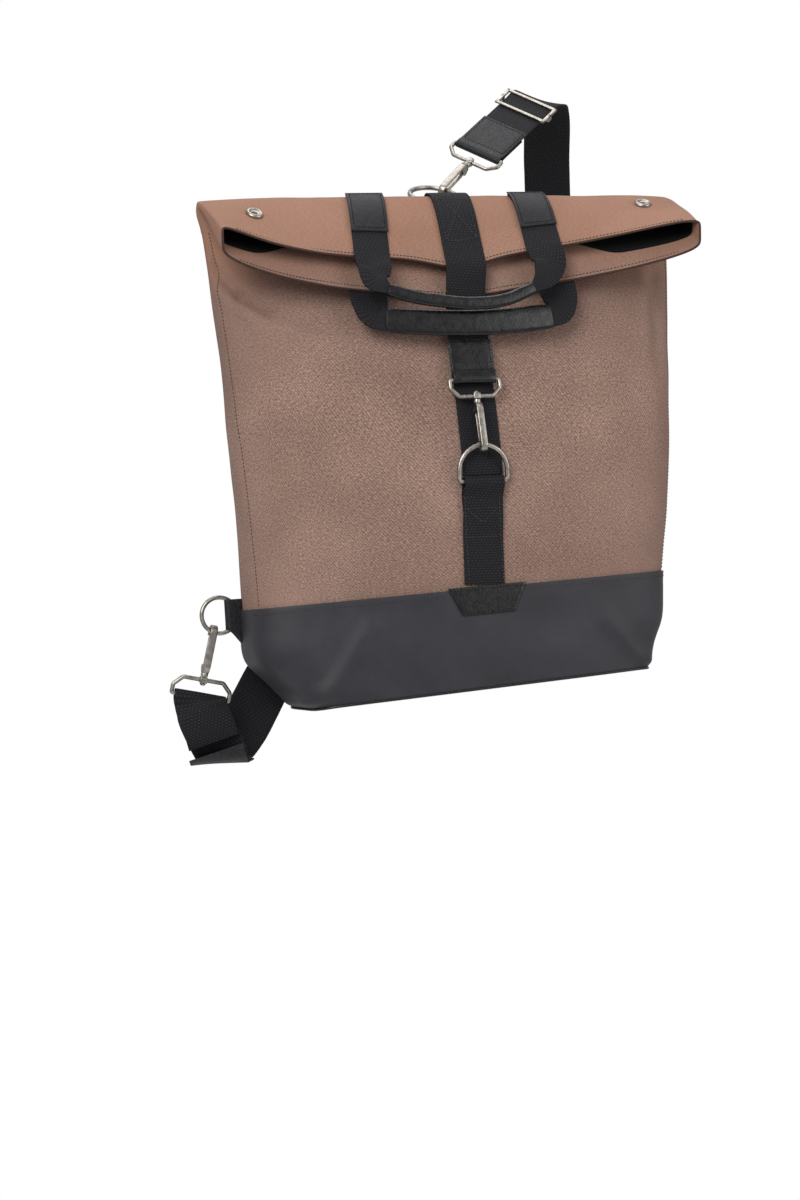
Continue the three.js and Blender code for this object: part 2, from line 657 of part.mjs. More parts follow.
// Where the shoulder strap hooks on: pin, bar and strap directions of its two ends.
const topPin = V(59.5, 80, 510.5);
const lowPin = V(-249.5, 24, 23.7);
const lowEye = V(-238.9, 19, 67);
const strapAlong = V(0.767, 0.328, 0.553);
const strapAcross = V(0.622, -0.577, -0.528);
const patchLength = 50;
const sliderAt = 88;

// The part of a direction that is square to another, at length one.
const square = (v, to) => v.clone().addScaledVector(to, -v.dot(to) / to.lengthSq()).normalize();

function shoulderHooks() {
  const topEye = topRingPoint(topEyeAngle);
  const topBar = topPin.clone().add(topPin.clone().sub(topEye).normalize().multiplyScalar(bracketHeight));
  const lateral = square(strapAcross, topBar.clone().sub(topPin));
  hookSet("top", { pin: topPin, bar: topBar, eye: topEye, lateral, width: shoulderBracketWidth });
  const lowBar = lowPin.clone().add(lowPin.clone().sub(lowEye).normalize().multiplyScalar(bracketHeight));
  hookSet("low", { pin: lowPin, bar: lowBar, eye: lowEye, lateral: V(-0.986, 0, 0.168), width: shoulderBracketWidth });
  return { topBar, lowBar, lateral };
}

function buildLowRing() {
  const centre = V(-232, 19, 82);
  const torus = new THREE.TorusGeometry(lowRingRadius, wireRadius, wireSides, 24);
  const ring = add("low_ring", facingOut(mergeVertices(stripped(torus), 1e-4)), nickel);
  ring.position.copy(centre);
  ring.rotation.x = Math.PI / 2;

  const outline = new THREE.Shape();
  const nose = wireRadius + gap + 1.4;
  outline.moveTo(-195, centre.y - 1.6);
  outline.lineTo(-213, centre.y - nose + 0.8);
  outline.lineTo(-222.5, centre.y - nose);
  outline.absarc(-222.5, centre.y, nose, 1.5 * Math.PI, 0.5 * Math.PI, true);
  outline.lineTo(-213, centre.y + nose - 0.8);
  outline.lineTo(-195, centre.y + 1.6);
  const fold = new THREE.ExtrudeGeometry(outline, { depth: tabHeight, bevelEnabled: false, curveSegments: 5 });
  fold.translate(0, 0, centre.z - tabHeight / 2);
  const tail = new THREE.Shape();
  tail.moveTo(-224, centre.z - tabHeight / 2 + 1);
  tail.lineTo(-195, centre.z - tabHeight / 2 + 1);
  tail.lineTo(-195, 50);
  tail.lineTo(-212, 50);
  tail.lineTo(-217, 60);
  const sheet = new THREE.ExtrudeGeometry(tail, { depth: 3.2, bevelEnabled: false });
  sheet.rotateX(Math.PI / 2);
  sheet.translate(0, centre.y + 1.6, 0);
  const tunnel = new THREE.TorusGeometry(lowRingRadius, wireRadius + gap, wireSides, 24);
  tunnel.rotateX(Math.PI / 2);
  tunnel.translate(centre.x, centre.y, centre.z);
  const clear = loft(plug(0, row.belly, 5, 2 * gap + coatedWall));
  const clean = (g) => facingOut(mergeVertices(stripped(g), 1e-4));
  add("side_tab", cut(join(clean(fold), clean(sheet)), clean(tunnel), clear), greyLeather);
}

// The shoulder strap from its leather end by the top bracket, over the shoulder, under the arm, behind the
// bag and round the low bracket's bar. Points x, y, z, then the way the face looks.
const crest = V(161, 136, 580.5);
const strapRoute = [
  [crest.x, crest.y, crest.z, 0.05, -0.25, 1],
  [172, 156, 571, 0.15, 0.6, 0.8],
  [182, 188, 527, 0.15, 0.95, 0.35],
  [194, 218, 460, 0.25, 0.97, 0.1],
  [214, 228, 395, 0.5, 0.85, 0],
  [236, 206, 320, 0.9, 0.4, -0.1],
  [232, 158, 262, 0.9, -0.4, -0.2],
  [186, 110, 214, 0.4, -0.9, -0.2],
  [100, 88, 172, 0.1, -1, 0],
  [0, 80, 136, 0, -1, 0],
  [-90, 77, 92, 0, -1, 0],
  [-143, 74, 55, 0, -1, 0],
  [-176, 70, 20, 0, -1, 0],
  [-192, 64, -3, 0, -1, 0.1],
  [-207, 58, -24, 0, -0.95, 0.3],
  [-222, 52, -40, 0, -0.75, 0.65],
  [-230, 43, -46, 0.1, -0.1, 1],
  [-236, 34, -41, 0.1, 0.8, 0.55],
  [-243.5, 31.5, -26, 0.05, 1, 0.1],
  [-250.5, 31, -8, 0, 1, 0],
];
const lowFront = [
  [-252.5, 18.6, -6, 0, -1, 0],
  [-248, 18.4, -20, 0, -1, -0.1],
  [-243.5, 23, -34, 0, -0.9, -0.4],
];

function buildShoulderStrap({ topBar, lowBar, lateral }) {
  const endFrame = new THREE.Group();
  endFrame.position.copy(topBar);
  const alongEnd = square(strapAlong, lateral);
  const back = alongEnd.clone().cross(lateral);
  endFrame.quaternion.setFromRotationMatrix(new THREE.Matrix4().makeBasis(lateral, back, alongEnd));
  bagGroup.add(endFrame);
  const end = { radius: wireRadius, core: strapThickness, front: patchLength, back: patchLength - 8, width: strapWidth + 2 };
  add("strap_leather", foldedEnd(end), greyLeather, endFrame);

  // Slider: two rails over the strap, a bar under it, and a post at each side.
  const outerFrame = new THREE.Shape();
  const [hw, hl] = [sliderWidth / 2, sliderLength / 2];
  outerFrame.moveTo(-hw, -hl).lineTo(hw, -hl).lineTo(hw, hl).lineTo(-hw, hl);
  const window = new THREE.Path();
  window.moveTo(-hw + sliderRail, -hl + sliderRail).lineTo(-hw + sliderRail, hl - sliderRail);
  window.lineTo(hw - sliderRail, hl - sliderRail).lineTo(hw - sliderRail, -hl + sliderRail);
  outerFrame.holes.push(window);
  const frame = new THREE.ExtrudeGeometry(outerFrame, { depth: 2.4, bevelEnabled: false });
  frame.translate(0, 0, strapThickness / 2 + gap);
  const underBar = new THREE.BoxGeometry(sliderWidth, sliderRail, 2.4);
  underBar.translate(0, 0, -strapThickness / 2 - gap - 1.2);
  const posts = [-1, 1].map((s) => {
    const post = new THREE.BoxGeometry(sliderRail - 0.4, sliderRail + 2, strapThickness + 2 * gap + 4.8);
    return post.translate((s * (sliderWidth - sliderRail + 0.4)) / 2, 0, 0);
  });
  const slider = add("slider", join(facingOut(mergeVertices(stripped(frame), 1e-4)), underBar, ...posts), nickel, endFrame);
  slider.rotation.x = Math.PI / 2;
  slider.position.z = sliderAt;

  const straight = [12, 40, 70, sliderAt, sliderAt + sliderLength / 2 + 3].map((d) => ({
    p: topBar.clone().addScaledVector(alongEnd, d),
    n: back.clone().negate(),
    w: strapWidth,
    h: strapThickness,
  }));
  const band = ([x, y, z, nx, ny, nz]) => station(x, y, z, [nx, ny, nz], strapWidth, strapThickness);
  const path = [...straight.slice(0, -1), ...smoothed([straight.at(-1), ...strapRoute.map(band)], 64)];
  const down = lowBar.clone().sub(lowPin).normalize();
  const side = down.clone().cross(V(-0.986, 0, 0.168)).normalize();
  const turn = wireRadius + gap + 0.2 + strapThickness / 2;
  const arc = rows(0, Math.PI, 6).map((a) => {
    const n = side.clone().multiplyScalar(Math.cos(a)).addScaledVector(down, -Math.sin(a));
    return { p: lowBar.clone().addScaledVector(n, turn), n, w: strapWidth, h: strapThickness };
  });
  add("shoulder_strap", sweep([...path, ...arc, ...lowFront.map(band)]), webbing);
}

// The leather keeper that binds the turn at the bottom of the low loop. Points as in strapRoute.
const keeperRoute = [
  [-224, 56, -47.5, 0, 0.5, -0.85],
  [-230, 46, -53, 0, 0.1, -1],
  [-236, 34, -54, 0, 0, -1],
  [-240, 23, -50.5, 0, -0.4, -0.9],
  [-243, 17.5, -43, 0, -0.9, -0.4],
  [-244.5, 16, -36, 0, -1, -0.2],
];

function buildKeeper() {
  const stations = keeperRoute.map(([x, y, z, ...n]) => station(x, y, z, n, strapWidth + 4, leatherThickness));
  add("low_keeper", sweep(stations), greyLeather);
}

function buildLabel() {
  const top = skin(-Math.PI / 2, seamRow).z + 2;
  const lift = 2 * gap + coatedWall;
  const rings = rows(0, 1, 4).map((s) => {
    const z = mix(top, top - 26, s);
    const half = mix(36, 20.5, s);
    const t = rowAt(0, z, -1, 0, row.belly);
    const edge = (x, l) => lifted(phiAt(x, t, -1), t, l);
    const xs = rows(-half, half, 3);
    return [...xs.map((x) => edge(x, lift)), ...xs.toReversed().map((x) => edge(x, lift + labelThickness))];
  });
  add("label_patch", loft(rings), leather);
}

buildBag();
buildClosure();
const { eye: frontEye } = buildRingStrap();
const closureCentre = V(closureBar.x, closureBar.y, closureBar.z);
const frontPin = closureCentre.clone().add(frontEye.clone().sub(closureCentre).normalize().multiplyScalar(bracketHeight));
hookSet("front", { pin: frontPin, bar: closureCentre, eye: frontEye, lateral: V(1, 0, 0), width: frontBracketWidth });
buildHandles();
buildSnaps();
buildTopRing();
buildLowRing();
buildShoulderStrap(shoulderHooks());
buildKeeper();
buildLabel();

const part = new THREE.Group();
bagGroup.position.copy(crest).negate().add(V(0, 0, strapThickness / 2));
part.add(bagGroup);

export default part;
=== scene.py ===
# %% [markdown]
# # A convertible backpack in Blender
# The bag is a canvas tube whose mouth is folded forward over the front and held down by a hooked strap. It
# stands in a coated base, carries two pairs of handles, and hangs from one wide shoulder strap. The packed
# CAD model gives the frame: every new piece is made in the same place, and rides on the same body.

import json
import math

import bmesh
import bpy
from mathutils import Matrix, Vector, noise


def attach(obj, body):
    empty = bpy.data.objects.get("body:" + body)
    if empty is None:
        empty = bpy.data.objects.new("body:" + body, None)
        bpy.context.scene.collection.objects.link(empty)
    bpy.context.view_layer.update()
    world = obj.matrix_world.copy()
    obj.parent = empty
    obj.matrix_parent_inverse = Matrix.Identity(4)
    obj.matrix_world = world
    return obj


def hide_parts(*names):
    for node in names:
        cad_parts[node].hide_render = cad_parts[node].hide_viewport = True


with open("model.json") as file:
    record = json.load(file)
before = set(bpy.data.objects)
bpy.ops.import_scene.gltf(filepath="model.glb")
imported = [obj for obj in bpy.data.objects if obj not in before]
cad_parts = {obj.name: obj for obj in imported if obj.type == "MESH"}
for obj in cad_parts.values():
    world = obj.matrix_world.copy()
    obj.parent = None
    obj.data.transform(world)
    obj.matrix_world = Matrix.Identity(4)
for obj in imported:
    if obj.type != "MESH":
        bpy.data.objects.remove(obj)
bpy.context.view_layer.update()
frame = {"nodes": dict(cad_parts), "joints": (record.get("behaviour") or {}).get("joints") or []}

# %% [markdown]
# ## The camera
# The photograph looks straight ahead at the bag, which is turned 17 degrees and tilted 3.5. A long lens
# from more than two metres keeps the perspective as gentle as it is there.

# %% Camera
LENS_MM = 70.2  # with a 36 mm sensor along the picture's height
CAMERA_PLACE = (-0.8624, -2.2221, -0.4936)
LOOK = Vector((0.2924, 0.9563, 0))
TILT = math.radians(3.5)

level = Vector((LOOK.y, -LOOK.x, 0))
right = level * math.cos(TILT) - Vector((0, 0, math.sin(TILT)))
up = level * math.sin(TILT) + Vector((0, 0, math.cos(TILT)))
camera_data = bpy.data.cameras.new("camera")
camera_data.lens = LENS_MM
camera = bpy.data.objects.new("camera", camera_data)
camera.matrix_world = Matrix.Translation(CAMERA_PLACE) @ Matrix((right, up, -LOOK)).transposed().to_4x4()
bpy.context.scene.collection.objects.link(camera)
bpy.context.scene.camera = camera
print("camera at", CAMERA_PLACE)

# %% [markdown]
# ## The bag's surface
# A bag is a loft: a closed outline that changes from the floor to the fold and on to the hem. Seventeen
# sections are enough when a smooth curve runs through them. Heights are shares of the fold's height, depths
# of the base's half depth and widths of the mouth's half width, all in millimetres in the bag's own frame.

# %% Sections of the bag
MM = 0.001  # a millimetre in metres
FOLD_HEIGHT = 463
HALF_WIDTH = 232
HALF_DEPTH = 62
SEAT = Vector((161, 136, 579.6))  # the top of the strap, where the part is held up, in the bag's own frame
NAMES = ["floor", "kick", "wing", "rim", "seam", "belly", "middle", "chest", "neck", "throat", "fold_start",
         "fold_back", "crest", "fold_front", "flap_top", "flap_middle", "hem"]
ROW = {name: i for i, name in enumerate(NAMES)}
# front height, front depth, back height, back depth, left, right, squareness
SECTIONS = [
    (0.004, -1.0, 0.004, 1.0, 0.7, 0.7, 7), (0.048, -1.03, 0.048, 1.03, 0.8, 0.75, 5.2),
    (0.1, -1.04, 0.1, 1.03, 0.893, 0.795, 4.6), (0.16, -1.04, 0.16, 1.02, 0.909, 0.815, 4.0),
    (0.2, -1.04, 0.2, 1.0, 0.909, 0.824, 3.8), (0.324, -1.03, 0.324, 0.97, 0.918, 0.866, 3.4),
    (0.467, -0.97, 0.467, 0.93, 0.928, 0.905, 3.1), (0.648, -0.74, 0.648, 0.8, 0.944, 0.942, 2.9),
    (0.778, -0.47, 0.778, 0.69, 0.961, 0.974, 3.0), (0.864, -0.25, 0.864, 0.57, 0.97, 0.987, 3.4),
    (0.93, -0.07, 0.938, 0.42, 0.985, 1.0, 4.5), (0.961, 0.03, 0.978, 0.27, 1.003, 1.003, 6),
    (0.974, -0.06, 1.0, 0.08, 1.006, 1.003, 6), (0.961, -0.145, 0.989, -0.16, 1.003, 1.0, 6),
    (0.93, -0.24, 0.958, -0.36, 1.0, 0.998, 6), (0.864, -0.42, 0.912, -0.53, 0.998, 0.996, 6),
    (0.79, -0.6, 0.862, -0.7, 0.993, 0.99, 6),
]
# The last five rows again at the ends of the mouth, where the flap stands forward and the mouth stays open.
MOUTH_ENDS = [
    (0.974, -0.06, 1.0, 0.08), (0.957, -0.22, 0.99, -0.2), (0.93, -0.46, 0.975, -0.5),
    (0.893, -0.82, 0.955, -0.88), (0.852, -1.19, 0.931, -1.26),
]
RISE = {("left", 1): 3.5, ("left", -1): 2.2, ("right", 1): 1.6, ("right", -1): 1.5}
FORWARD = 2.5
STRAP_PULL = {1: 9, -1: 4}  # how far the closing strap draws each hem down
STRAP_PULL_WIDTH = 38
BASE_SKEW = math.tan(math.radians(2.8))
SKEW_HEIGHT = 0.65 * FOLD_HEIGHT
HEM = ROW["hem"]


def smooth_value(rows, column, t):
    """The value of a column at a row position, on a smooth curve through the rows."""
    last = len(rows) - 1
    i = min(max(math.floor(t), 0), last - 1)
    f = t - i
    a, b, c, d = (rows[min(max(k, 0), last)][column] for k in (i - 1, i, i + 1, i + 2))
    return b + 0.5 * f * (c - a + f * (2 * a - 5 * b + 4 * c - d + f * (3 * (b - c) + d - a)))


def mix(a, b, f):
    return a + (b - a) * f


def wall(xi, side, t):
    """Height and depth of one wall at a share of the width: side 1 is the back, -1 the front."""
    z_column = 2 if side > 0 else 0
    z = smooth_value(SECTIONS, z_column, t)
    y = smooth_value(SECTIONS, z_column + 1, t)
    if t > ROW["crest"]:
        beyond = t - ROW["crest"]
        rise = abs(xi) ** RISE["left" if xi < 0 else "right", side]
        z = mix(z, smooth_value(MOUTH_ENDS, z_column, beyond), rise)
        y = mix(y, smooth_value(MOUTH_ENDS, z_column + 1, beyond), abs(xi) ** FORWARD)
    flap = min(max((t - ROW["fold_front"]) / (HEM - ROW["fold_front"]), 0), 1)
    drop = STRAP_PULL[side] * flap * math.exp(-((xi * HALF_WIDTH / STRAP_PULL_WIDTH) ** 2))
    return y * HALF_DEPTH, z * FOLD_HEIGHT - drop


def half_width(x, t):
    return smooth_value(SECTIONS, 4 if x < 0 else 5, t) * HALF_WIDTH


def skin(phi, t):
    """A point of the bag's outside, in millimetres: phi goes round from the right side over the back."""
    xi = math.cos(phi)
    power = smooth_value(SECTIONS, 6, t)
    eta = math.copysign(max(0, 1 - abs(xi) ** power) ** (1 / power), math.sin(phi))
    back_y, back_z = wall(xi, 1, t)
    front_y, front_z = wall(xi, -1, t)
    x = xi * half_width(xi, t)
    z = mix(front_z, back_z, (1 + eta) / 2)
    z += x * BASE_SKEW * max(0, 1 - z / SKEW_HEIGHT)
    return Vector((x, mix(front_y, back_y, (1 + eta) / 2), z))


def outward(phi, t):
    step = math.pi / 40
    low, high = max(t - 0.08, 0), min(t + 0.08, HEM)
    return (skin(phi + step, t) - skin(phi - step, t)).cross(skin(phi, high) - skin(phi, low)).normalized()


def lifted(phi, t, lift):
    return skin(phi, t) + outward(phi, t) * lift


def phi_at(x, t, side):
    return side * math.acos(min(max(x / half_width(x, t), -1), 1))


def row_at(x, z, side, low, high):
    """The row position between two rows at which a wall passes a height."""
    rising = skin(phi_at(x, low, side), low).z < skin(phi_at(x, high, side), high).z
    for _ in range(30):
        middle = (low + high) / 2
        if (skin(phi_at(x, middle, side), middle).z < z) == rising:
            low = middle
        else:
            high = middle
    return (low + high) / 2


def place(p):
    """From the bag's own frame in millimetres to the model's frame in metres."""
    return (Vector(p) - SEAT) * MM


print("fold's crest at", place(skin(math.pi / 2, ROW["crest"])))

# %% [markdown]
# ## Materials
# Each finish is built from nodes on real sizes. Cloth reads the piece's own UV map, laid out in metres, so
# a weave follows every bend; leather, coating and metal read Object coordinates.

# %% Node and colour helpers
def linear(hex_colour):
    """An sRGB hex colour as the linear colour that a shader takes."""
    values = [int(hex_colour[i:i + 2], 16) / 255 for i in (0, 2, 4)]
    return [v / 12.92 if v <= 0.04045 else ((v + 0.055) / 1.055) ** 2.4 for v in values] + [1]


def add_node(tree, kind, inputs=(), **settings):
    """Adds a node, gives it its settings, and sets or links its inputs."""
    node = tree.nodes.new(kind)
    for name, value in settings.items():
        setattr(node, name, value)
    for key, value in dict(inputs).items():
        if isinstance(value, bpy.types.NodeSocket):
            tree.links.new(value, node.inputs[key])
        else:
            node.inputs[key].default_value = value
    return node


def new_material(name, **values):
    """A material with a Principled shader, whose single values are set on its own sockets."""
    material = bpy.data.materials.new(name)
    material.use_nodes = True
    shader = material.node_tree.nodes["Principled BSDF"]
    for key, value in values.items():
        shader.inputs[key.replace("_", " ").title().replace("Ior", "IOR")].default_value = value
    return material, material.node_tree, shader


def colour_steps(tree, factor, steps):
    """A colour ramp through (position, hex colour) steps."""
    ramp = add_node(tree, "ShaderNodeValToRGB", {0: factor})
    while len(ramp.color_ramp.elements) < len(steps):
        ramp.color_ramp.elements.new(0.5)
    for element, (position, colour) in zip(ramp.color_ramp.elements, steps):
        element.position = position
        element.color = linear(colour)
    return ramp.outputs[0]


# %% [markdown]
# ### Heathered twill canvas
# A canvas of mixed brown yarns has fine speckles along the threads, a diagonal rib, and slow random changes
# of tone. The rib is really under a millimetre apart; it is drawn at 1.9 mm to show.

# %% Canvas
RIB_M = 0.0019
SPECKLE_M = 0.0007

canvas, tree, shader = new_material("heathered_twill_canvas", roughness=0.92, specular_ior_level=0.25)
uv = add_node(tree, "ShaderNodeUVMap", uv_map="UVMap").outputs[0]
place_on = add_node(tree, "ShaderNodeTexCoord").outputs["Object"]
warp = add_node(tree, "ShaderNodeMapping", {"Vector": uv, "Scale": (1, 0.4, 1)}).outputs[0]
speckle = add_node(tree, "ShaderNodeTexNoise",
                   {"Vector": warp, "Scale": 1 / SPECKLE_M, "Detail": 4, "Roughness": 0.75})
weft = add_node(tree, "ShaderNodeMapping", {"Vector": uv, "Scale": (0.35, 1, 1)}).outputs[0]
cross = add_node(tree, "ShaderNodeTexNoise",
                 {"Vector": weft, "Scale": 0.8 / SPECKLE_M, "Detail": 3, "Roughness": 0.7})
yarn = add_node(tree, "ShaderNodeMath", {0: speckle.outputs[0], 1: cross.outputs[0]},
                operation="ADD").outputs[0]
half_yarn = add_node(tree, "ShaderNodeMath", {0: yarn, 1: 0.5}, operation="MULTIPLY").outputs[0]
heather = colour_steps(tree, half_yarn,
                       [(0.36, "5a4339"), (0.46, "7c6155"), (0.54, "92786c"), (0.66, "b19990")])
rib_scale = 2 * math.pi / (10 * RIB_M * math.sqrt(2))
rib = add_node(tree, "ShaderNodeTexWave",
               {"Vector": uv, "Scale": rib_scale, "Distortion": 0.6, "Detail": 1, "Detail Scale": 2},
               bands_direction="DIAGONAL")
ribbed = add_node(tree, "ShaderNodeMix", {0: 0.22, 6: heather, 7: rib.outputs[0]},
                  data_type="RGBA", blend_type="SOFT_LIGHT")
slow = add_node(tree, "ShaderNodeTexNoise", {"Vector": place_on, "Scale": 11, "Detail": 4, "Roughness": 0.55})
tone = colour_steps(tree, slow.outputs[0], [(0.3, "b9b2ae"), (0.5, "dcd8d6"), (0.72, "ffffff")])
toned = add_node(tree, "ShaderNodeMix", {0: 0.55, 6: ribbed.outputs[2], 7: tone},
                 data_type="RGBA", blend_type="MULTIPLY")
height_of = add_node(tree, "ShaderNodeSeparateXYZ", {0: place_on}).outputs["Z"]
flap_share = add_node(tree, "ShaderNodeMapRange",
                      {0: height_of, 1: -0.215, 2: -0.165, 3: 0.0, 4: 1.0}).outputs[0]
warmer = add_node(tree, "ShaderNodeMix", {0: flap_share, 6: toned.outputs[2], 7: linear("94664b")},
                  data_type="RGBA")
flap_mix = add_node(tree, "ShaderNodeMix", {0: 0.42, 6: toned.outputs[2], 7: warmer.outputs[2]},
                    data_type="RGBA")
tree.links.new(flap_mix.outputs[2], shader.inputs["Base Color"])
weave_height = add_node(tree, "ShaderNodeMath", {0: half_yarn, 1: 0.5, 2: rib.outputs[1]},
                        operation="MULTIPLY_ADD").outputs[0]
bump = add_node(tree, "ShaderNodeBump", {"Strength": 0.3, "Distance": 0.0002, "Height": weave_height})
tree.links.new(bump.outputs[0], shader.inputs["Normal"])
print("made", canvas.name)

# %% [markdown]
# ### Coated cloth, leathers and lining
# The base is cloth with a smooth charcoal coating: a faint grain, and dust that dulls it unevenly. The
# black leather is pebbled and waxed, so it glints; the grey leather is finer and duller.

# %% Coated cloth
coated, tree, shader = new_material("charcoal_coated_cloth", roughness=0.6, specular_ior_level=0.26)
place_on = add_node(tree, "ShaderNodeTexCoord").outputs["Object"]
grain = add_node(tree, "ShaderNodeTexNoise", {"Vector": place_on, "Scale": 1500, "Detail": 2})
clouds = add_node(tree, "ShaderNodeTexNoise",
                  {"Vector": place_on, "Scale": 16, "Detail": 5, "Roughness": 0.6})
both = add_node(tree, "ShaderNodeMix", {0: 0.35, 2: clouds.outputs[0], 3: grain.outputs[0]}).outputs[0]
tree.links.new(colour_steps(tree, both, [(0.35, "252428"), (0.5, "2c2b2f"), (0.68, "353438")]),
               shader.inputs["Base Color"])
sheen_map = add_node(tree, "ShaderNodeMapRange",
                     {0: clouds.outputs[0], 1: 0.3, 2: 0.7, 3: 0.46, 4: 0.62}).outputs[0]
tree.links.new(sheen_map, shader.inputs["Roughness"])
bump = add_node(tree, "ShaderNodeBump", {"Strength": 0.25, "Distance": 0.0002, "Height": grain.outputs[0]})
tree.links.new(bump.outputs[0], shader.inputs["Normal"])


# %% Leathers
def leather_with_painted_furrow_shade(name, pebble_m, dark, light, rough, depth, **gloss):
    """Leather whose pebbles are cells of a real size, with painted shade that darkens the furrows between
    them.
    """
    material, nodes, leather_shader = new_material(name, roughness=rough, **gloss)
    at = add_node(nodes, "ShaderNodeTexCoord").outputs["Object"]
    wander = add_node(nodes, "ShaderNodeTexNoise", {"Vector": at, "Scale": 0.35 / pebble_m, "Detail": 2})
    cells = add_node(nodes, "ShaderNodeTexVoronoi", {"Vector": at, "Scale": 1 / pebble_m},
                     feature="SMOOTH_F1")
    height = add_node(nodes, "ShaderNodeMath", {0: wander.outputs[0], 1: cells.outputs[0]},
                      operation="SUBTRACT").outputs[0]
    # Painted shade: the base colour is darker in the furrows between the pebbles and lighter on their tops.
    furrow_shaded_colour = colour_steps(nodes, height, [(0.0, dark), (0.35, light)])
    nodes.links.new(furrow_shaded_colour, leather_shader.inputs["Base Color"])
    worn = add_node(nodes, "ShaderNodeMapRange",
                    {0: wander.outputs[0], 1: 0.3, 2: 0.7, 3: rough - 0.08, 4: rough + 0.12})
    nodes.links.new(worn.outputs[0], leather_shader.inputs["Roughness"])
    relief_node = add_node(nodes, "ShaderNodeBump", {"Strength": depth, "Distance": 0.0004, "Height": height})
    nodes.links.new(relief_node.outputs[0], leather_shader.inputs["Normal"])
    return material


black_leather = leather_with_painted_furrow_shade("pebbled_black_leather", 0.0018,
                               "020203", "0c0c0f", 0.3, 0.35, specular_ior_level=0.42)
grey_leather = leather_with_painted_furrow_shade("fine_grey_leather", 0.0009, "131315",
                              "262629", 0.52, 0.25, specular_ior_level=0.24)

# %% [markdown]
# ### Webbing and lining
# Webbing is woven in narrow ribs across its width, with a tighter selvedge at each edge that is not drawn
# here. The UV map runs across in u and along in v, in metres, so the diagonal ribs are easy to place. They
# are drawn at 2.4 mm, wider than life, to show.

# %% Webbing
RIB_PITCH_M = 0.0024
webbing, tree, shader = new_material("twill_webbing", roughness=0.75, specular_ior_level=0.22)
uv = add_node(tree, "ShaderNodeUVMap", uv_map="UVMap").outputs[0]
ribs = add_node(tree, "ShaderNodeTexWave",
                {"Vector": uv, "Scale": 2 * math.pi / (20 * RIB_PITCH_M), "Distortion": 0.8},
                bands_direction="Y")
lean_ribs = add_node(tree, "ShaderNodeTexWave",
                     {"Vector": uv, "Scale": 2 * math.pi / (10 * RIB_PITCH_M * 1.5)},
                     bands_direction="DIAGONAL")
fuzz = add_node(tree, "ShaderNodeTexNoise", {"Vector": uv, "Scale": 900, "Detail": 3})
woven = add_node(tree, "ShaderNodeMath", {0: lean_ribs.outputs[1], 1: fuzz.outputs[0]},
                 operation="MULTIPLY").outputs[0]
full = add_node(tree, "ShaderNodeMath", {0: ribs.outputs[1], 1: woven, 2: 0.3},
                operation="MULTIPLY_ADD").outputs[0]
tree.links.new(colour_steps(tree, full, [(0.15, "050506"), (0.55, "141417"), (1.0, "38383e")]),
               shader.inputs["Base Color"])
bump = add_node(tree, "ShaderNodeBump", {"Strength": 0.6, "Distance": 0.0006, "Height": full})
tree.links.new(bump.outputs[0], shader.inputs["Normal"])

lining, tree, shader = new_material("plain_black_lining", roughness=0.8, specular_ior_level=0.1)
uv = add_node(tree, "ShaderNodeUVMap", uv_map="UVMap").outputs[0]
checks = add_node(tree, "ShaderNodeTexBrick",
                  {"Vector": uv, "Scale": 500, "Color1": linear("0b0b0c"), "Color2": linear("151517"),
                                              "Mortar": linear("050506")})
tree.links.new(checks.outputs[0], shader.inputs["Base Color"])
bump = add_node(tree, "ShaderNodeBump", {"Strength": 0.3, "Distance": 0.0003, "Height": checks.outputs[1]})
tree.links.new(bump.outputs[0], shader.inputs["Normal"])

# %% [markdown]
# ### Brushed nickel and thread
# The hardware is plated zinc, brushed and then darkened in its hollows. Fine noise stretched along Z gives
# the brushing. The metal keeps the default IOR, because its colour does that work.

# %% Nickel and thread
nickel, tree, shader = new_material("brushed_antique_nickel", metallic=1.0, roughness=0.32)
place_on = add_node(tree, "ShaderNodeTexCoord").outputs["Object"]
brush = add_node(tree, "ShaderNodeMapping", {"Vector": place_on, "Scale": (1, 1, 0.08)}).outputs[0]
scratches = add_node(tree, "ShaderNodeTexNoise",
                     {"Vector": brush, "Scale": 2500, "Detail": 3, "Roughness": 0.7})
patina = add_node(tree, "ShaderNodeTexNoise", {"Vector": place_on, "Scale": 180, "Detail": 3})
aged = add_node(tree, "ShaderNodeMix", {0: 0.5, 2: scratches.outputs[0], 3: patina.outputs[0]}).outputs[0]
tree.links.new(colour_steps(tree, aged, [(0.3, "6a655e"), (0.5, "958f87"), (0.7, "bab4ab")]),
               shader.inputs["Base Color"])
rough_map = add_node(tree, "ShaderNodeMapRange", {0: aged, 1: 0.3, 2: 0.7, 3: 0.26, 4: 0.46}).outputs[0]
tree.links.new(rough_map, shader.inputs["Roughness"])
bump = add_node(tree, "ShaderNodeBump",
                {"Strength": 0.15, "Distance": 0.0001, "Height": scratches.outputs[0]})
tree.links.new(bump.outputs[0], shader.inputs["Normal"])


def thread_finish(name, dark, light):
    """Twisted thread: light and dark turns along its length; on the black thread the light turns are painted
    highlights.
    """
    material, nodes, thread_shader = new_material(name, roughness=0.75, specular_ior_level=0.25)
    at = add_node(nodes, "ShaderNodeTexCoord").outputs["Object"]
    twist = add_node(nodes, "ShaderNodeTexNoise", {"Vector": at, "Scale": 1800, "Detail": 1})
    nodes.links.new(colour_steps(nodes, twist.outputs[0], [(0.4, dark), (0.6, light)]),
                    thread_shader.inputs["Base Color"])
    return material


brown_thread = thread_finish("dark_brown_thread", "2a1d17", "46332a")
# Painted highlight: the black thread's pale grey turns stand for the light that its waxed surface catches.
black_thread_with_painted_highlights = thread_finish("waxed_thread_black_with_painted_highlights", "1a1a1d", "48484f")
leather_thread = thread_finish("fine_black_thread", "050506", "17171a")
print("materials:", len(bpy.data.materials))

# %% [markdown]
# ## Building blocks
# Almost everything here is one of two shapes. A tube starts as a circle that is extruded ring by ring, and
# a strip starts as a grid; then every vertex is moved to where the real surface is. UVs are written in
# metres.

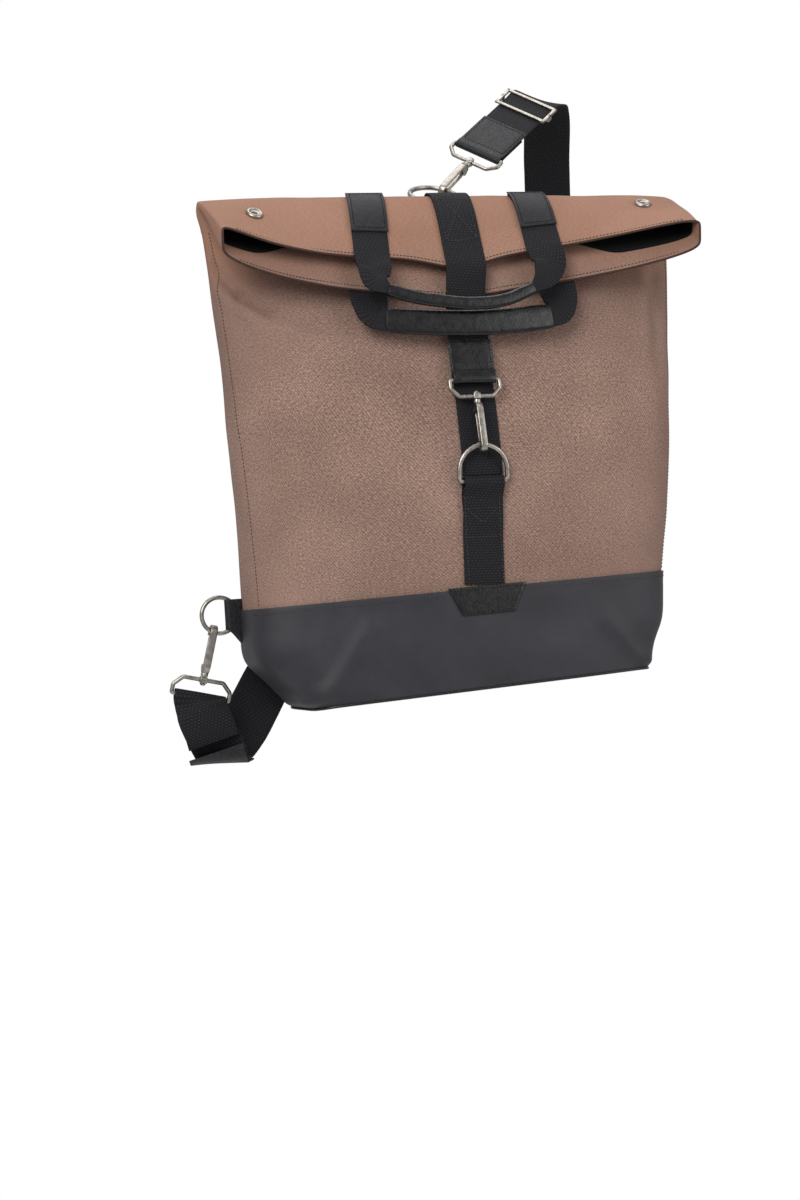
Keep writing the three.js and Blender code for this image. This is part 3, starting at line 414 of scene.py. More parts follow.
# %% Tubes, strips and finishing
def mesh_object(name, bm):
    mesh = bpy.data.meshes.new(name)
    bm.to_mesh(mesh)
    bm.free()
    for face in mesh.polygons:
        face.use_smooth = True
    obj = bpy.data.objects.new(name, mesh)
    bpy.context.scene.collection.objects.link(obj)
    return obj


def settle(obj, body, material, nodes=()):
    """Gives a finished piece its material and its body, and hides the CAD nodes that it stands for."""
    obj.data.materials.append(material)
    if nodes:
        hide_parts(*nodes)
    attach(obj, body)
    return obj


def tube(name, sides, steps, shape, size, loop=False, caps=False):
    """A circle extruded in steps; shape(angle, share) then gives each vertex its place in the bag's frame."""
    bm = bmesh.new()
    bmesh.ops.create_circle(bm, segments=sides, radius=1)
    first = edges = list(bm.edges)
    for _ in range(steps):
        grown = bmesh.ops.extrude_edge_only(bm, edges=edges)["geom"]
        edges = [g for g in grown if isinstance(g, bmesh.types.BMEdge) and g.is_boundary]
        bmesh.ops.translate(bm, verts=[g for g in grown if isinstance(g, bmesh.types.BMVert)], vec=(0, 0, 1))
    total = steps + 1 if loop else steps
    params = {v: (math.atan2(v.co.y, v.co.x) % (2 * math.pi), v.co.z / total) for v in bm.verts}
    if loop:
        bmesh.ops.bridge_loops(bm, edges=first + edges)
    if caps:
        bmesh.ops.holes_fill(bm, edges=[e for e in bm.edges if e.is_boundary], sides=0)
    layer = bm.loops.layers.uv.new("UVMap")
    for face in bm.faces:
        turns = [params[corner.vert][0] / (2 * math.pi) for corner in face.loops]
        along = [params[corner.vert][1] for corner in face.loops]
        for corner, u, v in zip(face.loops, turns, along):
            u += u < 0.25 and max(turns) > 0.75
            v += loop and v < 0.25 and max(along) > 0.75
            corner[layer].uv = (u * size[0], v * size[1])
    for vert, (angle, share) in params.items():
        vert.co = place(shape(angle, share))
    bmesh.ops.recalc_face_normals(bm, faces=bm.faces)
    return mesh_object(name, bm)


def strip(name, across, steps, shape, size):
    """A grid; shape(u, v) gives each vertex its place, with u across and v along, both from 0 to 1."""
    bm = bmesh.new()
    bmesh.ops.create_grid(bm, x_segments=across, y_segments=steps, size=0.5)
    layer = bm.loops.layers.uv.new("UVMap")
    params = {v: (v.co.x + 0.5, v.co.y + 0.5) for v in bm.verts}
    for face in bm.faces:
        for corner in face.loops:
            u, v = params[corner.vert]
            corner[layer].uv = (u * size[0], v * size[1])
    for vert, (u, v) in params.items():
        vert.co = place(shape(u, v))
    return mesh_object(name, bm)


CREASE_ANGLE = math.radians(50)  # a sharper turn than this is a real edge


def thicken(obj, thickness_mm, offset=0.0, round_mm=0.25):
    """Live modifiers: a wall's thickness, and softly rounded cut edges."""
    solid = obj.modifiers.new("thickness", "SOLIDIFY")
    solid.thickness = thickness_mm * MM
    solid.offset = offset
    if round_mm:
        soft = obj.modifiers.new("soft_edges", "BEVEL")
        soft.width = round_mm * MM
        soft.segments = 2
        soft.limit_method = "ANGLE"
        soft.angle_limit = CREASE_ANGLE
    return obj


print("helpers ready")

# %% [markdown]
# ## Bands
# Webbing and leather strips follow stations: a point, the way the face looks, and a width. A smooth curve
# through the stations gives a station for every share of the length.

# %% Stations and bands
WEBBING = 1.8  # thickness
GAP = 0.3  # between layers
SAMPLES = 8  # of the curve between two stations, to measure its length


class Route:
    """A smooth curve through stations (point, face direction, width), read by its share of the length."""

    def __init__(self, stations):
        self.values = [(*p, *Vector(n).normalized(), w) for p, n, w in stations]
        self.gaps = [max((Vector(b[:3]) - Vector(a[:3])).length, 0.01)
                     for a, b in zip(self.values, self.values[1:])]
        self.marks = [0.0]
        fine = [Vector(self.at_index(i / SAMPLES)[:3]) for i in range(SAMPLES * (len(self.values) - 1) + 1)]
        for a, b in zip(fine, fine[1:]):
            self.marks.append(self.marks[-1] + (b - a).length)
        self.length = self.marks[-1]

    def slope(self, i, column):
        """How fast a value changes at a station, weighed by the gaps on both sides."""
        if i == 0 or i == len(self.values) - 1:
            k = min(i, len(self.gaps) - 1)
            return (self.values[k + 1][column] - self.values[k][column]) / self.gaps[k]
        before, after = self.gaps[i - 1], self.gaps[i]
        rise_before = (self.values[i][column] - self.values[i - 1][column]) / before
        rise_after = (self.values[i + 1][column] - self.values[i][column]) / after
        return (rise_before * after + rise_after * before) / (before + after)

    def at_index(self, s):
        i = min(max(math.floor(s), 0), len(self.gaps) - 1)
        f, gap = s - i, self.gaps[i]
        lows, highs = self.values[i], self.values[i + 1]
        return [(2 * f ** 3 - 3 * f * f + 1) * lows[c] + (f ** 3 - 2 * f * f + f) * gap * self.slope(i, c)
                + (3 * f * f - 2 * f ** 3) * highs[c] + (f ** 3 - f * f) * gap * self.slope(i + 1, c)
                for c in range(7)]

    def at(self, share):
        goal = min(max(share, 0), 1) * self.length
        low, high = 0, len(self.marks) - 1
        while high - low > 1:
            middle = (low + high) // 2
            if self.marks[middle] <= goal:
                low = middle
            else:
                high = middle
        span = self.marks[high] - self.marks[low]
        value = self.at_index((low + (goal - self.marks[low]) / span) / SAMPLES)
        return Vector(value[:3]), Vector(value[3:6]), value[6]

    def axes(self, share):
        """Point, across, face and width at a share of the length."""
        p, n, width = self.at(share)
        ahead = self.at(share + 0.002)[0] - self.at(share - 0.002)[0]
        across = ahead.cross(n).normalized()
        return p, across, across.cross(ahead).normalized(), width


def band(name, stations, thickness, steps, material,
         nodes=(), across=8, crown=0.0, round_mm=0.25, body="bag"):
    """A strip of webbing or leather along stations, a little thicker in the middle if it is crowned."""
    route = Route(stations)

    def shape(u, v):
        p, side, face, width = route.axes(v)
        return p + side * (u - 0.5) * width + face * crown * (1 - (2 * u - 1) ** 2)

    widest = max(s[2] for s in stations)
    obj = thicken(strip(name, across, steps, shape, (widest * MM, route.length * MM)), thickness, 0, round_mm)
    settle(obj, body, material, nodes)
    return route


def on_bag(x, t, side, lift, width):
    phi = phi_at(x, t, side)
    return lifted(phi, t, lift), outward(phi, t), width


def on_panel(x, z, lift, width):
    return on_bag(x, row_at(x, z, -1, ROW["seam"], ROW["fold_start"]), -1, lift, width)


def spread(a, b, count):
    return [mix(a, b, i / count) for i in range(count + 1)]


# %% [markdown]
# ## Stitches
# A seam is read from its stitches. Each is a small rounded pellet half sunk in the cloth, and an icosphere
# with twenty faces is round enough at this size.

# %% Stitches
def stitches(name, points, normals, material, slot_name, pitch=3.4, length=2.5, thread=0.5, body="bag"):
    """Pellets of thread at a pitch along a line of points, each lying along it."""
    bm = bmesh.new()
    walked, due = 0.0, pitch / 2
    for (a, b), n in zip(zip(points, points[1:]), normals):
        reach = (b - a).length
        while reach > 0 and walked + reach > due:
            along = (b - a).normalized()
            side = along.cross(n).normalized()
            turn = Matrix((along, side, along.cross(side))).transposed().to_4x4()
            centre = place(a + along * (due - walked))
            size = Matrix.Diagonal((length * 0.0005, thread * 0.001, thread * 0.0008, 1))
            bmesh.ops.create_icosphere(bm, subdivisions=1, radius=1,
                                       matrix=Matrix.Translation(centre) @ turn @ size)
            due += pitch
        walked += reach
    obj = mesh_object(name, bm)
    return settle(obj, body, material)


def seam_on_bag(name, spots, side, lift, material, slot_name, **more):
    """Stitches through (x, row) spots of a wall."""
    placed = [on_bag(x, t, side, lift, 0) for x, t in spots]
    return stitches(name, [p for p, _, _ in placed], [n for _, n, _ in placed], material, slot_name, **more)


print("stitching ready")

# %% [markdown]
# ## The canvas body
# The load pushes the panels out in soft waves, a drag line runs in from the left corner of the fold, and
# the right side has a long soft crease. These are small hills added to the smooth loft. They fade out under
# the webbing, so that it still lies flat.

# %% Canvas body
# ends of each crease (x, z), its height and half width, and the side it is on
CREASES = [
    ((-226, 404), (-203, 371), -5.0, 5, -1), ((-203, 371), (-178, 354), -5.0, 5, -1),
           ((-178, 354), (-135, 340), -3.6, 6, -1),
    ((-135, 340), (-108, 330), -1.6, 8, -1), ((-216, 376), (-196, 352), 4.0, 8, -1),
           ((-196, 352), (-160, 334), 3.6, 10, -1),
    ((-160, 334), (-100, 316), 1.8, 14, -1), ((-214, 340), (-206, 250), 1.4, 12, -1),
    ((196, 398), (190, 330), 3.0, 9, -1), ((190, 330), (184, 220), 1.6, 12, -1),
           ((206, 380), (200, 300), -2.4, 8, -1),
    ((150, 390), (120, 330), 1.2, 14, -1), ((-150, 200), (-60, 180), 1.0, 26, -1),
           ((60, 240), (160, 210), 1.2, 24, -1),
    ((-90, 380), (-60, 320), 1.0, 12, -1), ((100, 300), (150, 270), -0.9, 20, -1),
    ((-180, 400), (-60, 340), 2.0, 22, 1), ((60, 380), (190, 330), 2.0, 24, 1),
           ((-140, 250), (120, 220), 1.6, 30, 1),
]


def near_line(x, z, a, b):
    """The distance from a point to the line from a to b."""
    ax, az, bx, bz = *a, *b
    length = math.hypot(bx - ax, bz - az)
    f = ((x - ax) * (bx - ax) + (z - az) * (bz - az)) / length ** 2
    f = min(max(f, 0), 1)
    return math.hypot(x - mix(ax, bx, f), z - mix(az, bz, f))


def smooth_step(a, b, value):
    f = min(max((value - a) / (b - a), 0), 1)
    return f * f * (3 - 2 * f)


def waves(p, n, t):
    """Outward relief of the canvas in millimetres."""
    free = smooth_step(24, 48, abs(p.x - 3))
    if t > ROW["fold_start"]:
        free *= smooth_step(22, 36, abs(p.x + 75)) * smooth_step(22, 36, abs(p.x - 88))
    fade = smooth_step(ROW["rim"] + 0.7, ROW["belly"], t)
    soft = noise.noise(Vector((p.x / 62, p.y / 80,
                               p.z / 95))) * 1.7 + noise.noise(Vector((p.x / 24, p.y / 40, p.z / 34))) * 0.55
    height = soft
    if t < ROW["fold_start"]:
        side = 1 if n.y > 0 else -1
        for a, b, hill, width, on in CREASES:
            if on == side:
                facing = smooth_step(0.15, 0.6, abs(n.y))
                height += hill * math.exp(-((near_line(p.x, p.z, a, b) / width) ** 2)) * facing
    else:
        height = soft * 0.55
    return height * free * fade


def canvas_shape(angle, share):
    t = mix(ROW["rim"] + 0.2, HEM, share)
    n = outward(angle, t)
    p = skin(angle, t)
    return p + n * (waves(p, n, t) - 0.05)


body_cloth = tube("canvas_shell", 220, 150, canvas_shape, (1.02, 0.62))
thicken(body_cloth, 1.7, -1, 0.4)
settle(body_cloth, "bag", canvas, ["canvas_body"])
print("canvas faces", len(body_cloth.data.polygons))

# %% [markdown]
# ## Hems and seams of the canvas
# The hem is turned in and overlocked, which leaves a dark corded edge, with a line of stitches above it.
# The side seams are stitched from top to bottom. A canvas facing lines the mouth first, and the black
# lining starts behind it, nearer the edge at the two open ends.

# %% Hems, seams, lining
def hem_edge(angle, share):
    phi = share * 2 * math.pi
    n = outward(phi, HEM)
    down = (skin(phi, HEM) - skin(phi, HEM - 0.1)).normalized()
    centre = skin(phi, HEM) - n * 0.9 + down * 0.3
    return centre + n * 1.15 * math.cos(angle) + down * 1.1 * math.sin(angle)


edge = tube("hem_edge", 8, 420, hem_edge, (0.007, 1.0), loop=True)
settle(edge, "bag", brown_thread)

spots = [(x, HEM - 0.16) for x in spread(-216, 214, 140)]
seam_on_bag("outer_hem_stitches", spots, 1, 0.15, brown_thread, "canvas")
spots = [(x, HEM - 0.15) for x in spread(-214, 212, 140)]
seam_on_bag("inner_hem_stitches", spots, -1, -2.0, brown_thread, "canvas")
for name, turn in (("left", math.pi + 0.2), ("right", -0.2), ("left_back", math.pi - 0.2),
                   ("right_back", 0.2)):
    spots = [(turn, t) for t in spread(ROW["seam"] + 0.05, ROW["fold_start"], 90)]
    points = [skin(phi, t) + outward(phi, t) * (waves(skin(phi, t), outward(phi, t), t) + 0.1)
              for phi, t in spots]
    stitches(f"side_seam_{name}", points, [outward(phi, t) for phi, t in spots], brown_thread, "canvas")


def lining_shape(angle, share):
    end = 200 if math.cos(angle) < 0 else 165
    open_end = smooth_step(end - 55, end, abs(math.cos(angle)) * HALF_WIDTH)
    facing = mix(1.25, 0.72 if math.cos(angle) < 0 else 0.66, open_end)
    return lifted(angle, mix(ROW["crest"] + 0.2, HEM - facing, share), -2.3)


inside = tube("mouth_lining_cloth", 160, 36, lining_shape, (1.0, 0.09))
thicken(inside, 0.8, -1, 0)
settle(inside, "bag", lining, ["mouth_lining"])
print("hems and lining done")

# %% [markdown]
# ## The coated base
# The base is a tray of coated cloth. Its lower corners are folded like a parcel, which shows as a soft
# ridge from each bottom corner up into the front. The upper edge is topstitched and the bottom edge piped.

# %% Coated base
BASE_RIDGES = [((-164, -8), (-112, 64), 3.4, 9), ((162, 10), (114, 58), 3.0, 9),
               ((-196, 24), (-150, 30), -1.6, 16),
               ((190, 36), (150, 36), -1.4, 14)]


def base_shape(angle, share):
    t = mix(0, ROW["seam"], share)
    p, n = skin(angle, t), outward(angle, t)
    height = noise.noise(Vector((p.x / 70, p.y / 70, p.z / 60))) * 0.8
    for a, b, hill, width in BASE_RIDGES:
        height += hill * math.exp(-((near_line(p.x, p.z, a, b) / width) ** 2))
    below_seam = smooth_step(ROW["seam"], ROW["seam"] - 0.7, t)
    height *= smooth_step(0, 0.5, t) * below_seam * smooth_step(30, 60, abs(p.x))
    bottom = 1 - smooth_step(0, 0.12, t)
    return p + n * (2.0 + max(height, -1.2)) - Vector((0, 0, 1.2)) * bottom


tray = tube("coated_tray", 220, 46, base_shape, (1.0, 0.1))
bm = bmesh.new()
bm.from_mesh(tray.data)
low_z = place((0, 0, 40)).z
lowest = [e for e in bm.edges if e.is_boundary and (e.verts[0].co.z + e.verts[1].co.z) / 2 < low_z]
floor_face = bmesh.ops.edgeloop_fill(bm, edges=lowest)["faces"]
for inset in (0.010, 0.02, 0.02):
    bmesh.ops.inset_region(bm, faces=floor_face, thickness=inset)
bmesh.ops.recalc_face_normals(bm, faces=bm.faces)
bm.to_mesh(tray.data)
bm.free()
thicken(tray, 1.6, -1, 0.4)
settle(tray, "bag", coated, ["base_panel"])


def piping(angle, share):
    phi = share * 2 * math.pi
    n = outward(phi, 0.06)
    flat = Vector((n.x, n.y, 0)).normalized()
    centre = skin(phi, 0.03) + n * 2.3 - Vector((0, 0, 0.8))
    return centre + flat * 1.3 * math.cos(angle) + Vector((0, 0, 1.3)) * math.sin(angle)


settle(tube("base_piping", 8, 320, piping, (0.008, 0.9), loop=True), "bag", black_leather)
ring = spread(0, 2 * math.pi, 260)
seam = ROW["seam"]
stitches("base_seam_stitches", [lifted(phi, seam - 0.16, 2.15) for phi in ring],
         [outward(phi, seam) for phi in ring],
         black_thread_with_painted_highlights, "coated")
print("base done")

# %% [markdown]
# ## Straps on the front
# The closing strap comes over the fold, is stitched down with a boxed cross, and ends in a leather fold
# round the bracket. Below it, a shorter strap holds the D-ring, and one more piece lies under both.

# %% Closing strap and ring strap
PANEL_LIFT = 1.2
WEB_WIDTH = 38
CLOSURE_BAR = Vector((2.5, -58.5, 283.5))
CLOSURE_LEAN = math.radians(13)

stations = [on_bag(6, t, 1, PANEL_LIFT + 1, WEB_WIDTH) for t in spread(ROW["fold_back"], HEM, 10)]
stations.append((Vector((4, -46.5, 372)), (0, -1, -0.1), WEB_WIDTH))
for d in (52, 30, 12):
    p = CLOSURE_BAR + Vector((0, d * math.sin(CLOSURE_LEAN), d * math.cos(CLOSURE_LEAN)))
    stations.append((p, (0, -1, 0), WEB_WIDTH))
band("closing_strap", stations, WEBBING, 220, webbing, ["closure_webbing"], crown=0.15)

stations = [on_panel(4, z, PANEL_LIFT, WEB_WIDTH) for z in spread(195.4, 299.5, 8)]
band("strap_under", stations, WEBBING, 60, webbing, ["under_webbing"])

D_WIRE = 2.3
D_TURN = D_WIRE + 2 * GAP + WEBBING / 2
bar_at = on_panel(2.5, 190, 0, 0)[0] + Vector((0, -(PANEL_LIFT + D_TURN), 0))
stations = [(on_panel(1, z, PANEL_LIFT, 0)[0], (0, 1, 0), WEB_WIDTH) for z in (164, 178)]
for a in spread(0, math.pi, 8):
    stations.append((bar_at + Vector((0, math.cos(a), math.sin(a))) * D_TURN,
                     (0, math.cos(a), math.sin(a)), WEB_WIDTH))
for x, z, lift in ((0.8, 174, 4.3), (0.4, 160, 3.3), (-0.2, 149, 2.2),
                   (-0.6, 138, 1.2), (-1.4, 112, 1.2), (-2, 95.5, 1.2)):
    stations.append(on_panel(x, z, lift, WEB_WIDTH))
band("ring_strap", stations, WEBBING, 180, webbing, ["ring_webbing"], crown=0.15)

print("straps on the front done")


# %% [markdown]
# ### Box stitching
# A boxed cross spreads a strap's pull over the cloth. It could be a bump in the material, but thread that
# stands up catches the light, so each line is made of real stitches.

# %% Box stitching
def box_cross(name, x0, x1, t0, t1, lift):
    """A stitched box with a cross in it, on the flap between two x and two rows."""
    corners = [(x0, t0), (x1, t0), (x1, t1), (x0, t1), (x0, t0), (x1, t1), (x1, t0), (x0, t1)]
    order = [(0, 1), (1, 2), (2, 3), (3, 4), (4, 5), (6, 7)]
    for k, (a, b) in enumerate(order):
        spots = [(mix(corners[a][0], corners[b][0], f), mix(corners[a][1], corners[b][1], f))
                 for f in spread(0, 1, 12)]
        seam_on_bag(f"{name}_{k}", spots, 1, lift, black_thread_with_painted_highlights, "webbing", pitch=3.2, length=2.4)


box_cross("closing_box", -9, 21, ROW["fold_front"] - 0.1, ROW["flap_middle"] + 0.1, 3.4)
BOX_STITCHES = [((-15, 165), (15, 165)), ((-15, 139), (15, 139)),
                ((-15, 165), (0, 152)), ((15, 165), (0, 152)),
                ((-16.5, 176), (-16.5, 100)), ((16.5, 176), (16.5, 100))]
for k, ((x0, z0), (x1, z1)) in enumerate(BOX_STITCHES):
    points, normals = [], []
    for f in spread(0, 1, 24):
        z = mix(z0, z1, f)
        lift = 1.2 + 3.1 * smooth_step(138, 174, z) + 1.15
        p, n, _ = on_panel(mix(x0, x1, f) - 0.4, z, lift, 0)
        points.append(p)
        normals.append(n)
    stitches(f"ring_strap_stitches_{k}", points, normals, black_thread_with_painted_highlights, "webbing", pitch=3.2, length=2.4)


# %% [markdown]
# ## Leather folded round a bar
# Each strap ends in a leather piece that wraps the bracket's bar and is stitched through. The same fold
# serves the closing strap and the shoulder strap, placed by a matrix.

# %% Leather ends
WIRE = 2.0
LEATHER = 1.4


def leather_end(name, matrix, front, back, width, node, material, slot_name):
    """A fold of leather round a bar: local Z runs along the strap away from the bar, and -Y is its face."""
    turn = WIRE + GAP + LEATHER / 2
    ply = WEBBING / 2 + GAP + LEATHER / 2
    inset = 2.6
    low_seam = 9
    local = [((0, -ply, z), (0, -1, 0)) for z in spread(front, low_seam, 5)]
    local += [((0, -turn * math.cos(a), -turn * math.sin(a)), (0, -math.cos(a), -math.sin(a)))
              for a in spread(0, math.pi, 8)]
    local += [((0, ply, z), (0, 1, 0)) for z in spread(low_seam, back, 5)]
    turned = matrix.to_3x3()
    stations = [(matrix @ Vector(p), turned @ Vector(n), width) for p, n in local]
    band(name, stations, LEATHER, 120, material, [node], across=6, round_mm=0.45)
    face = -ply - LEATHER / 2 - 0.15
    rim, top = width / 2 - inset, front - inset
    lines = [((-rim, top), (rim, top)), ((-rim, top), (-rim, low_seam)), ((rim, top), (rim, low_seam)),
             ((-rim, low_seam), (rim, low_seam))]
    for k, ((x0, z0), (x1, z1)) in enumerate(lines):
        points = [matrix @ Vector((mix(x0, x1, f), face, mix(z0, z1, f))) for f in spread(0, 1, 12)]
        stitches(f"{name}_stitches_{k}", points, [turned @ Vector((0, -1, 0))] * 12,
                 leather_thread, slot_name, pitch=3, length=2.2)


closure_matrix = Matrix.Translation(CLOSURE_BAR) @ Matrix.Rotation(-CLOSURE_LEAN, 4, "X")
leather_end("closing_leather", closure_matrix, 38, 32, 41, "closure_leather", black_leather, "leather")

# %% [markdown]
# ## Handles
# The outer handles hang from two leather patches on the flap; the inner pair comes from under it. Each pair
# narrows into one rolled leather grip.

# %% Handle webbing
PATCH_TOP = ROW["crest"] + 0.5
OUT = (0, -1, 0.1)
ROLLED = 8.8  # width of the webbing inside the outer grip
FOLDED = 20.2  # and inside the inner grip


def leaning(x, lean, t):
    """A handle strap's place across the flap: it leans outwards or inwards on its way down."""
    return x + lean * (t - PATCH_TOP) / (HEM - PATCH_TOP)


def outer_leg(x, lean):
    return [on_bag(leaning(x, lean, t), t, 1, PANEL_LIFT + 0.3, 34) for t in spread(PATCH_TOP, HEM, 7)]


def inner_leg(x):
    legs = [on_bag(x, t, -1, PANEL_LIFT, 36) for t in spread(ROW["flap_top"], HEM, 4)]
    return [(p, -n, w) for p, n, w in legs]


outer_middle = [
    ((-85, -54, 389), OUT, 32), ((-86, -60, 377), OUT, 25), ((-76, -64, 367), OUT, ROLLED),
                ((-52, -65.5, 359.5), OUT, ROLLED),
    ((-28, -66.5, 355.5), OUT, ROLLED),
    ((3, -67, 352.5), OUT, ROLLED), ((36, -66, 355.5), OUT, ROLLED),
                ((64, -64, 366), OUT, ROLLED), ((78, -60, 377), OUT, 24),
    ((85, -54, 391), OUT, 32),
]
inner_middle = [
    ((-89, -46, 357), (0, -1, 0.3), 34), ((-88, -52, 346), (0, -1, 0.3), 27), ((-78, -57, 340), OUT, FOLDED),
    ((-30, -60, 336.5), OUT, FOLDED), ((5, -61, 335.5), OUT, FOLDED),
                ((40, -60, 336.5), OUT, FOLDED), ((82, -57, 340), OUT, FOLDED),
    ((93, -52, 346), (0, -1, 0.3), 27), ((96, -46, 357), (0, -1, 0.3), 34),
]
outer_stations = outer_leg(-76, -9) + outer_middle + outer_leg(83, 0)[::-1]
inner_stations = inner_leg(-88) + inner_middle + inner_leg(95)[::-1]
band("outer_handle_straps", outer_stations, WEBBING, 320, webbing,
     ["outer_handle_webbing"], crown=0.2)
band("inner_handle_straps", inner_stations, WEBBING, 320, webbing,
     ["inner_handle_webbing"], crown=0.2)

print("handle straps done")


# %% [markdown]
# ### Rolled grips and patches
# Each grip is leather wrapped round folded webbing and stitched along its edge. A bevelled curve would be
# quicker, but a tube along the webbing's stations keeps the flat oval section and its small creases.

# %% Rolled grips and patches
def grip(name, stations, wide, deep, node, seam_side):
    """A leather sleeve rolled round the webbing, fuller in the middle, with a stitched edge."""
    route = Route(stations)

    def shape(angle, share):
        p, side, face, _ = route.axes(share)
        swell = 1 - 0.1 * (2 * share - 1) ** 8
        c, s = math.cos(angle), math.sin(angle)
        flat_c = math.copysign(abs(c) ** 0.7, c)
        flat_s = math.copysign(abs(s) ** 0.8, s)
        crease = 0.05 * noise.noise(Vector((share * 22, c * 2, s * 2)))
        return p + side * (wide / 2 * swell * flat_c) + face * (deep / 2 * (swell + crease) * flat_s)

    obj = tube(name, 32, 110, shape, (0.05, route.length * MM))
    thicken(obj, 1.4, -1, 0.3)
    settle(obj, "bag", black_leather, [node])
    for k, edge_share in enumerate(seam_side):
        points, normals = [], []
        for share in spread(0.02, 0.98, 60):
            p, side, face, _ = route.axes(share)
            points.append(p + side * (wide / 2 * edge_share)
                          + face * (deep / 2 * (1 - abs(edge_share) ** 2.6) ** 0.4 + 0.25))
            normals.append(face)
        stitches(f"{name}_stitches_{k}", points, normals, leather_thread, "leather", pitch=3.1, length=2.3)


grip("outer_rolled_grip", outer_middle[2:8], 12, 7, "outer_grip", (0.7,))
grip("inner_rolled_grip", inner_middle[2:7], 24, 7, "inner_grip", (0.82, -0.82))


PATCH_WIDTH = 36


def patch(name, x, lean, node):
    """A leather patch over the top of a handle strap, with a stitched border."""
    def shape(u, v):
        t = mix(PATCH_TOP, ROW["flap_middle"], v)
        return on_bag(leaning(x, lean, t) + (u - 0.5) * PATCH_WIDTH, t, 1, 3.4, 0)[0]

    obj = thicken(strip(name, 14, 20, shape, (0.036, 0.036)), LEATHER, 0, 0.5)
    settle(obj, "bag", grey_leather, [node])
    rim = [(-15, 0.09), (15, 0.09), (15, 0.93), (-15, 0.93), (-15, 0.09)]
    for k in range(4):
        spots = []
        for f in spread(0, 1, 10):
            t = mix(PATCH_TOP, ROW["flap_middle"], mix(rim[k][1], rim[k + 1][1], f))
            spots.append((leaning(x, lean, t) + mix(rim[k][0], rim[k + 1][0], f), t))
        seam_on_bag(f"{name}_stitches_{k}", spots, 1, 4.35, leather_thread,
                    "grey_leather", pitch=2.9, length=2.1)


patch("handle_patch_leather_left", -76, -9, "handle_patch_left")
patch("handle_patch_leather_right", 83, 0, "handle_patch_right")
print("handles done")

# %% [markdown]
# ## Rings and brackets
# Wire hardware is a round bar bent to a path. Corners are rounded before the bar is drawn along them, as
# they are when real wire is bent.

# %% Bent wire
def rounded_path(corners, radius, pieces=6, closed=True):
    """A path with each corner replaced by a short arc."""
    path = []
    count = len(corners)
    for i, corner in enumerate(corners):
        if not closed and i in (0, count - 1):
            path.append(corner)
            continue
        before, after = corners[i - 1], corners[(i + 1) % count]
        into, out = (before - corner), (after - corner)
        reach = min(radius, 0.45 * into.length, 0.45 * out.length)
        a, b = corner + into.normalized() * reach, corner + out.normalized() * reach
        for f in spread(0, 1, pieces):
            path.append(mix(mix(a, corner, f), mix(corner, b, f), f))
    return path


def wire_loop(name, path, radius, matrix, sides=14, squash_z=1.0):
    """A closed loop of round bar along a planar path whose plane is local XZ."""
    count = len(path)

    def shape(angle, share):
        i = round(share * count) % count
        ahead = (path[(i + 1) % count] - path[i - 1]).normalized()
        side = Vector((0, 1, 0))
        flat = side.cross(ahead).normalized()
        return matrix @ (path[i] + side * radius * squash_z * math.cos(angle)
                         + flat * radius * math.sin(angle))

    return tube(name, sides, count - 1, shape, (0.012, 0.2), loop=True)


# %% [markdown]
# ### The rings
# The D-ring is a half circle on two straight legs with a flat bar, and the other two are plain rings. A torus
# would do for those, but one wire helper serves all three.

# %% D-ring and round rings
D_WIDTH = 51
D_HEIGHT = 35
D_LEAN = 4  # how far its top leans forward
half = D_WIDTH / 2 - D_WIRE
straight = D_HEIGHT - D_WIRE - half
arch = [Vector((half * math.cos(a), 0, straight + half * math.sin(a))) for a in spread(0, math.pi, 24)]
corners = [Vector((-half, 0, 0)), Vector((half, 0, 0))]
path = rounded_path([arch[-1], *corners, arch[0]], 3, closed=False)[1:-1] + arch
path = [p + Vector((0, -D_LEAN, 0)) * p.z / D_HEIGHT for p in path]
d_ring = wire_loop("d_ring", path, D_WIRE, Matrix.Translation(bar_at))
settle(d_ring, "bag", nickel, ["front_d_ring"])


def round_ring(name, centre, radius, wire, turn, node):
    path = [Vector((radius * math.cos(a), 0, radius * math.sin(a))) for a in spread(0, 2 * math.pi, 64)[:-1]]
    settle(wire_loop(name, path, wire, Matrix.Translation(centre) @ turn), "bag", nickel, [node])


TOP_RING = Vector((11, 53.5, 473))
TOP_RING_RADIUS = 22.5
TOP_RING_WIRE = 2.4
TOP_RING_LEAN = 30  # degrees from lying flat
LOW_RING = Vector((-232, 19, 82))
LOW_RING_RADIUS = 16.5
lean_turn = Matrix.Rotation(math.radians(90 + TOP_RING_LEAN), 4, "X")
round_ring("ring_behind_fold", TOP_RING, TOP_RING_RADIUS, TOP_RING_WIRE, lean_turn, "top_ring")
round_ring("ring_low_side", LOW_RING, LOW_RING_RADIUS, WIRE, Matrix.Identity(4), "low_ring")
print("rings done")

# %% [markdown]
# ## Swivel snap hooks
# Three hooks are the same casting: a bracket that takes the strap, a boss with a riveted post, and a flat
# hook with a sprung gate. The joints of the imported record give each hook's pin and axes, so the new pieces
# turn about the same lines.

# %% Hooks
BRACKET_HEIGHT = 16
EYE_RADIUS = 4.0
STEM = 2.6
HOOK_WIDTH = 6.4
GATE_TOP = 15
TIP_RISE = 4
TIP_GAP = 0.4  # between the hook's tip and the gate
GATE_SHARE = 0.55  # of the hook's width
joints = {j["name"]: j for j in frame["joints"]}


def hook_axes(name):
    """Pin, and the matrix from the hook's own frame to the bag's: Z up the pin, Y towards the gate."""
    z = Vector(joints[f"{name}_hook_swivel"]["axis"]).normalized()
    x = -Vector(joints[f"{name}_hook_gate"]["axis"]).normalized()
    turn = Matrix((x, z.cross(x), z)).transposed().to_4x4()
    pin = Vector(joints[f"{name}_hook_swivel"]["pos_m"]) * 1000 + SEAT
    return Matrix.Translation(pin) @ turn


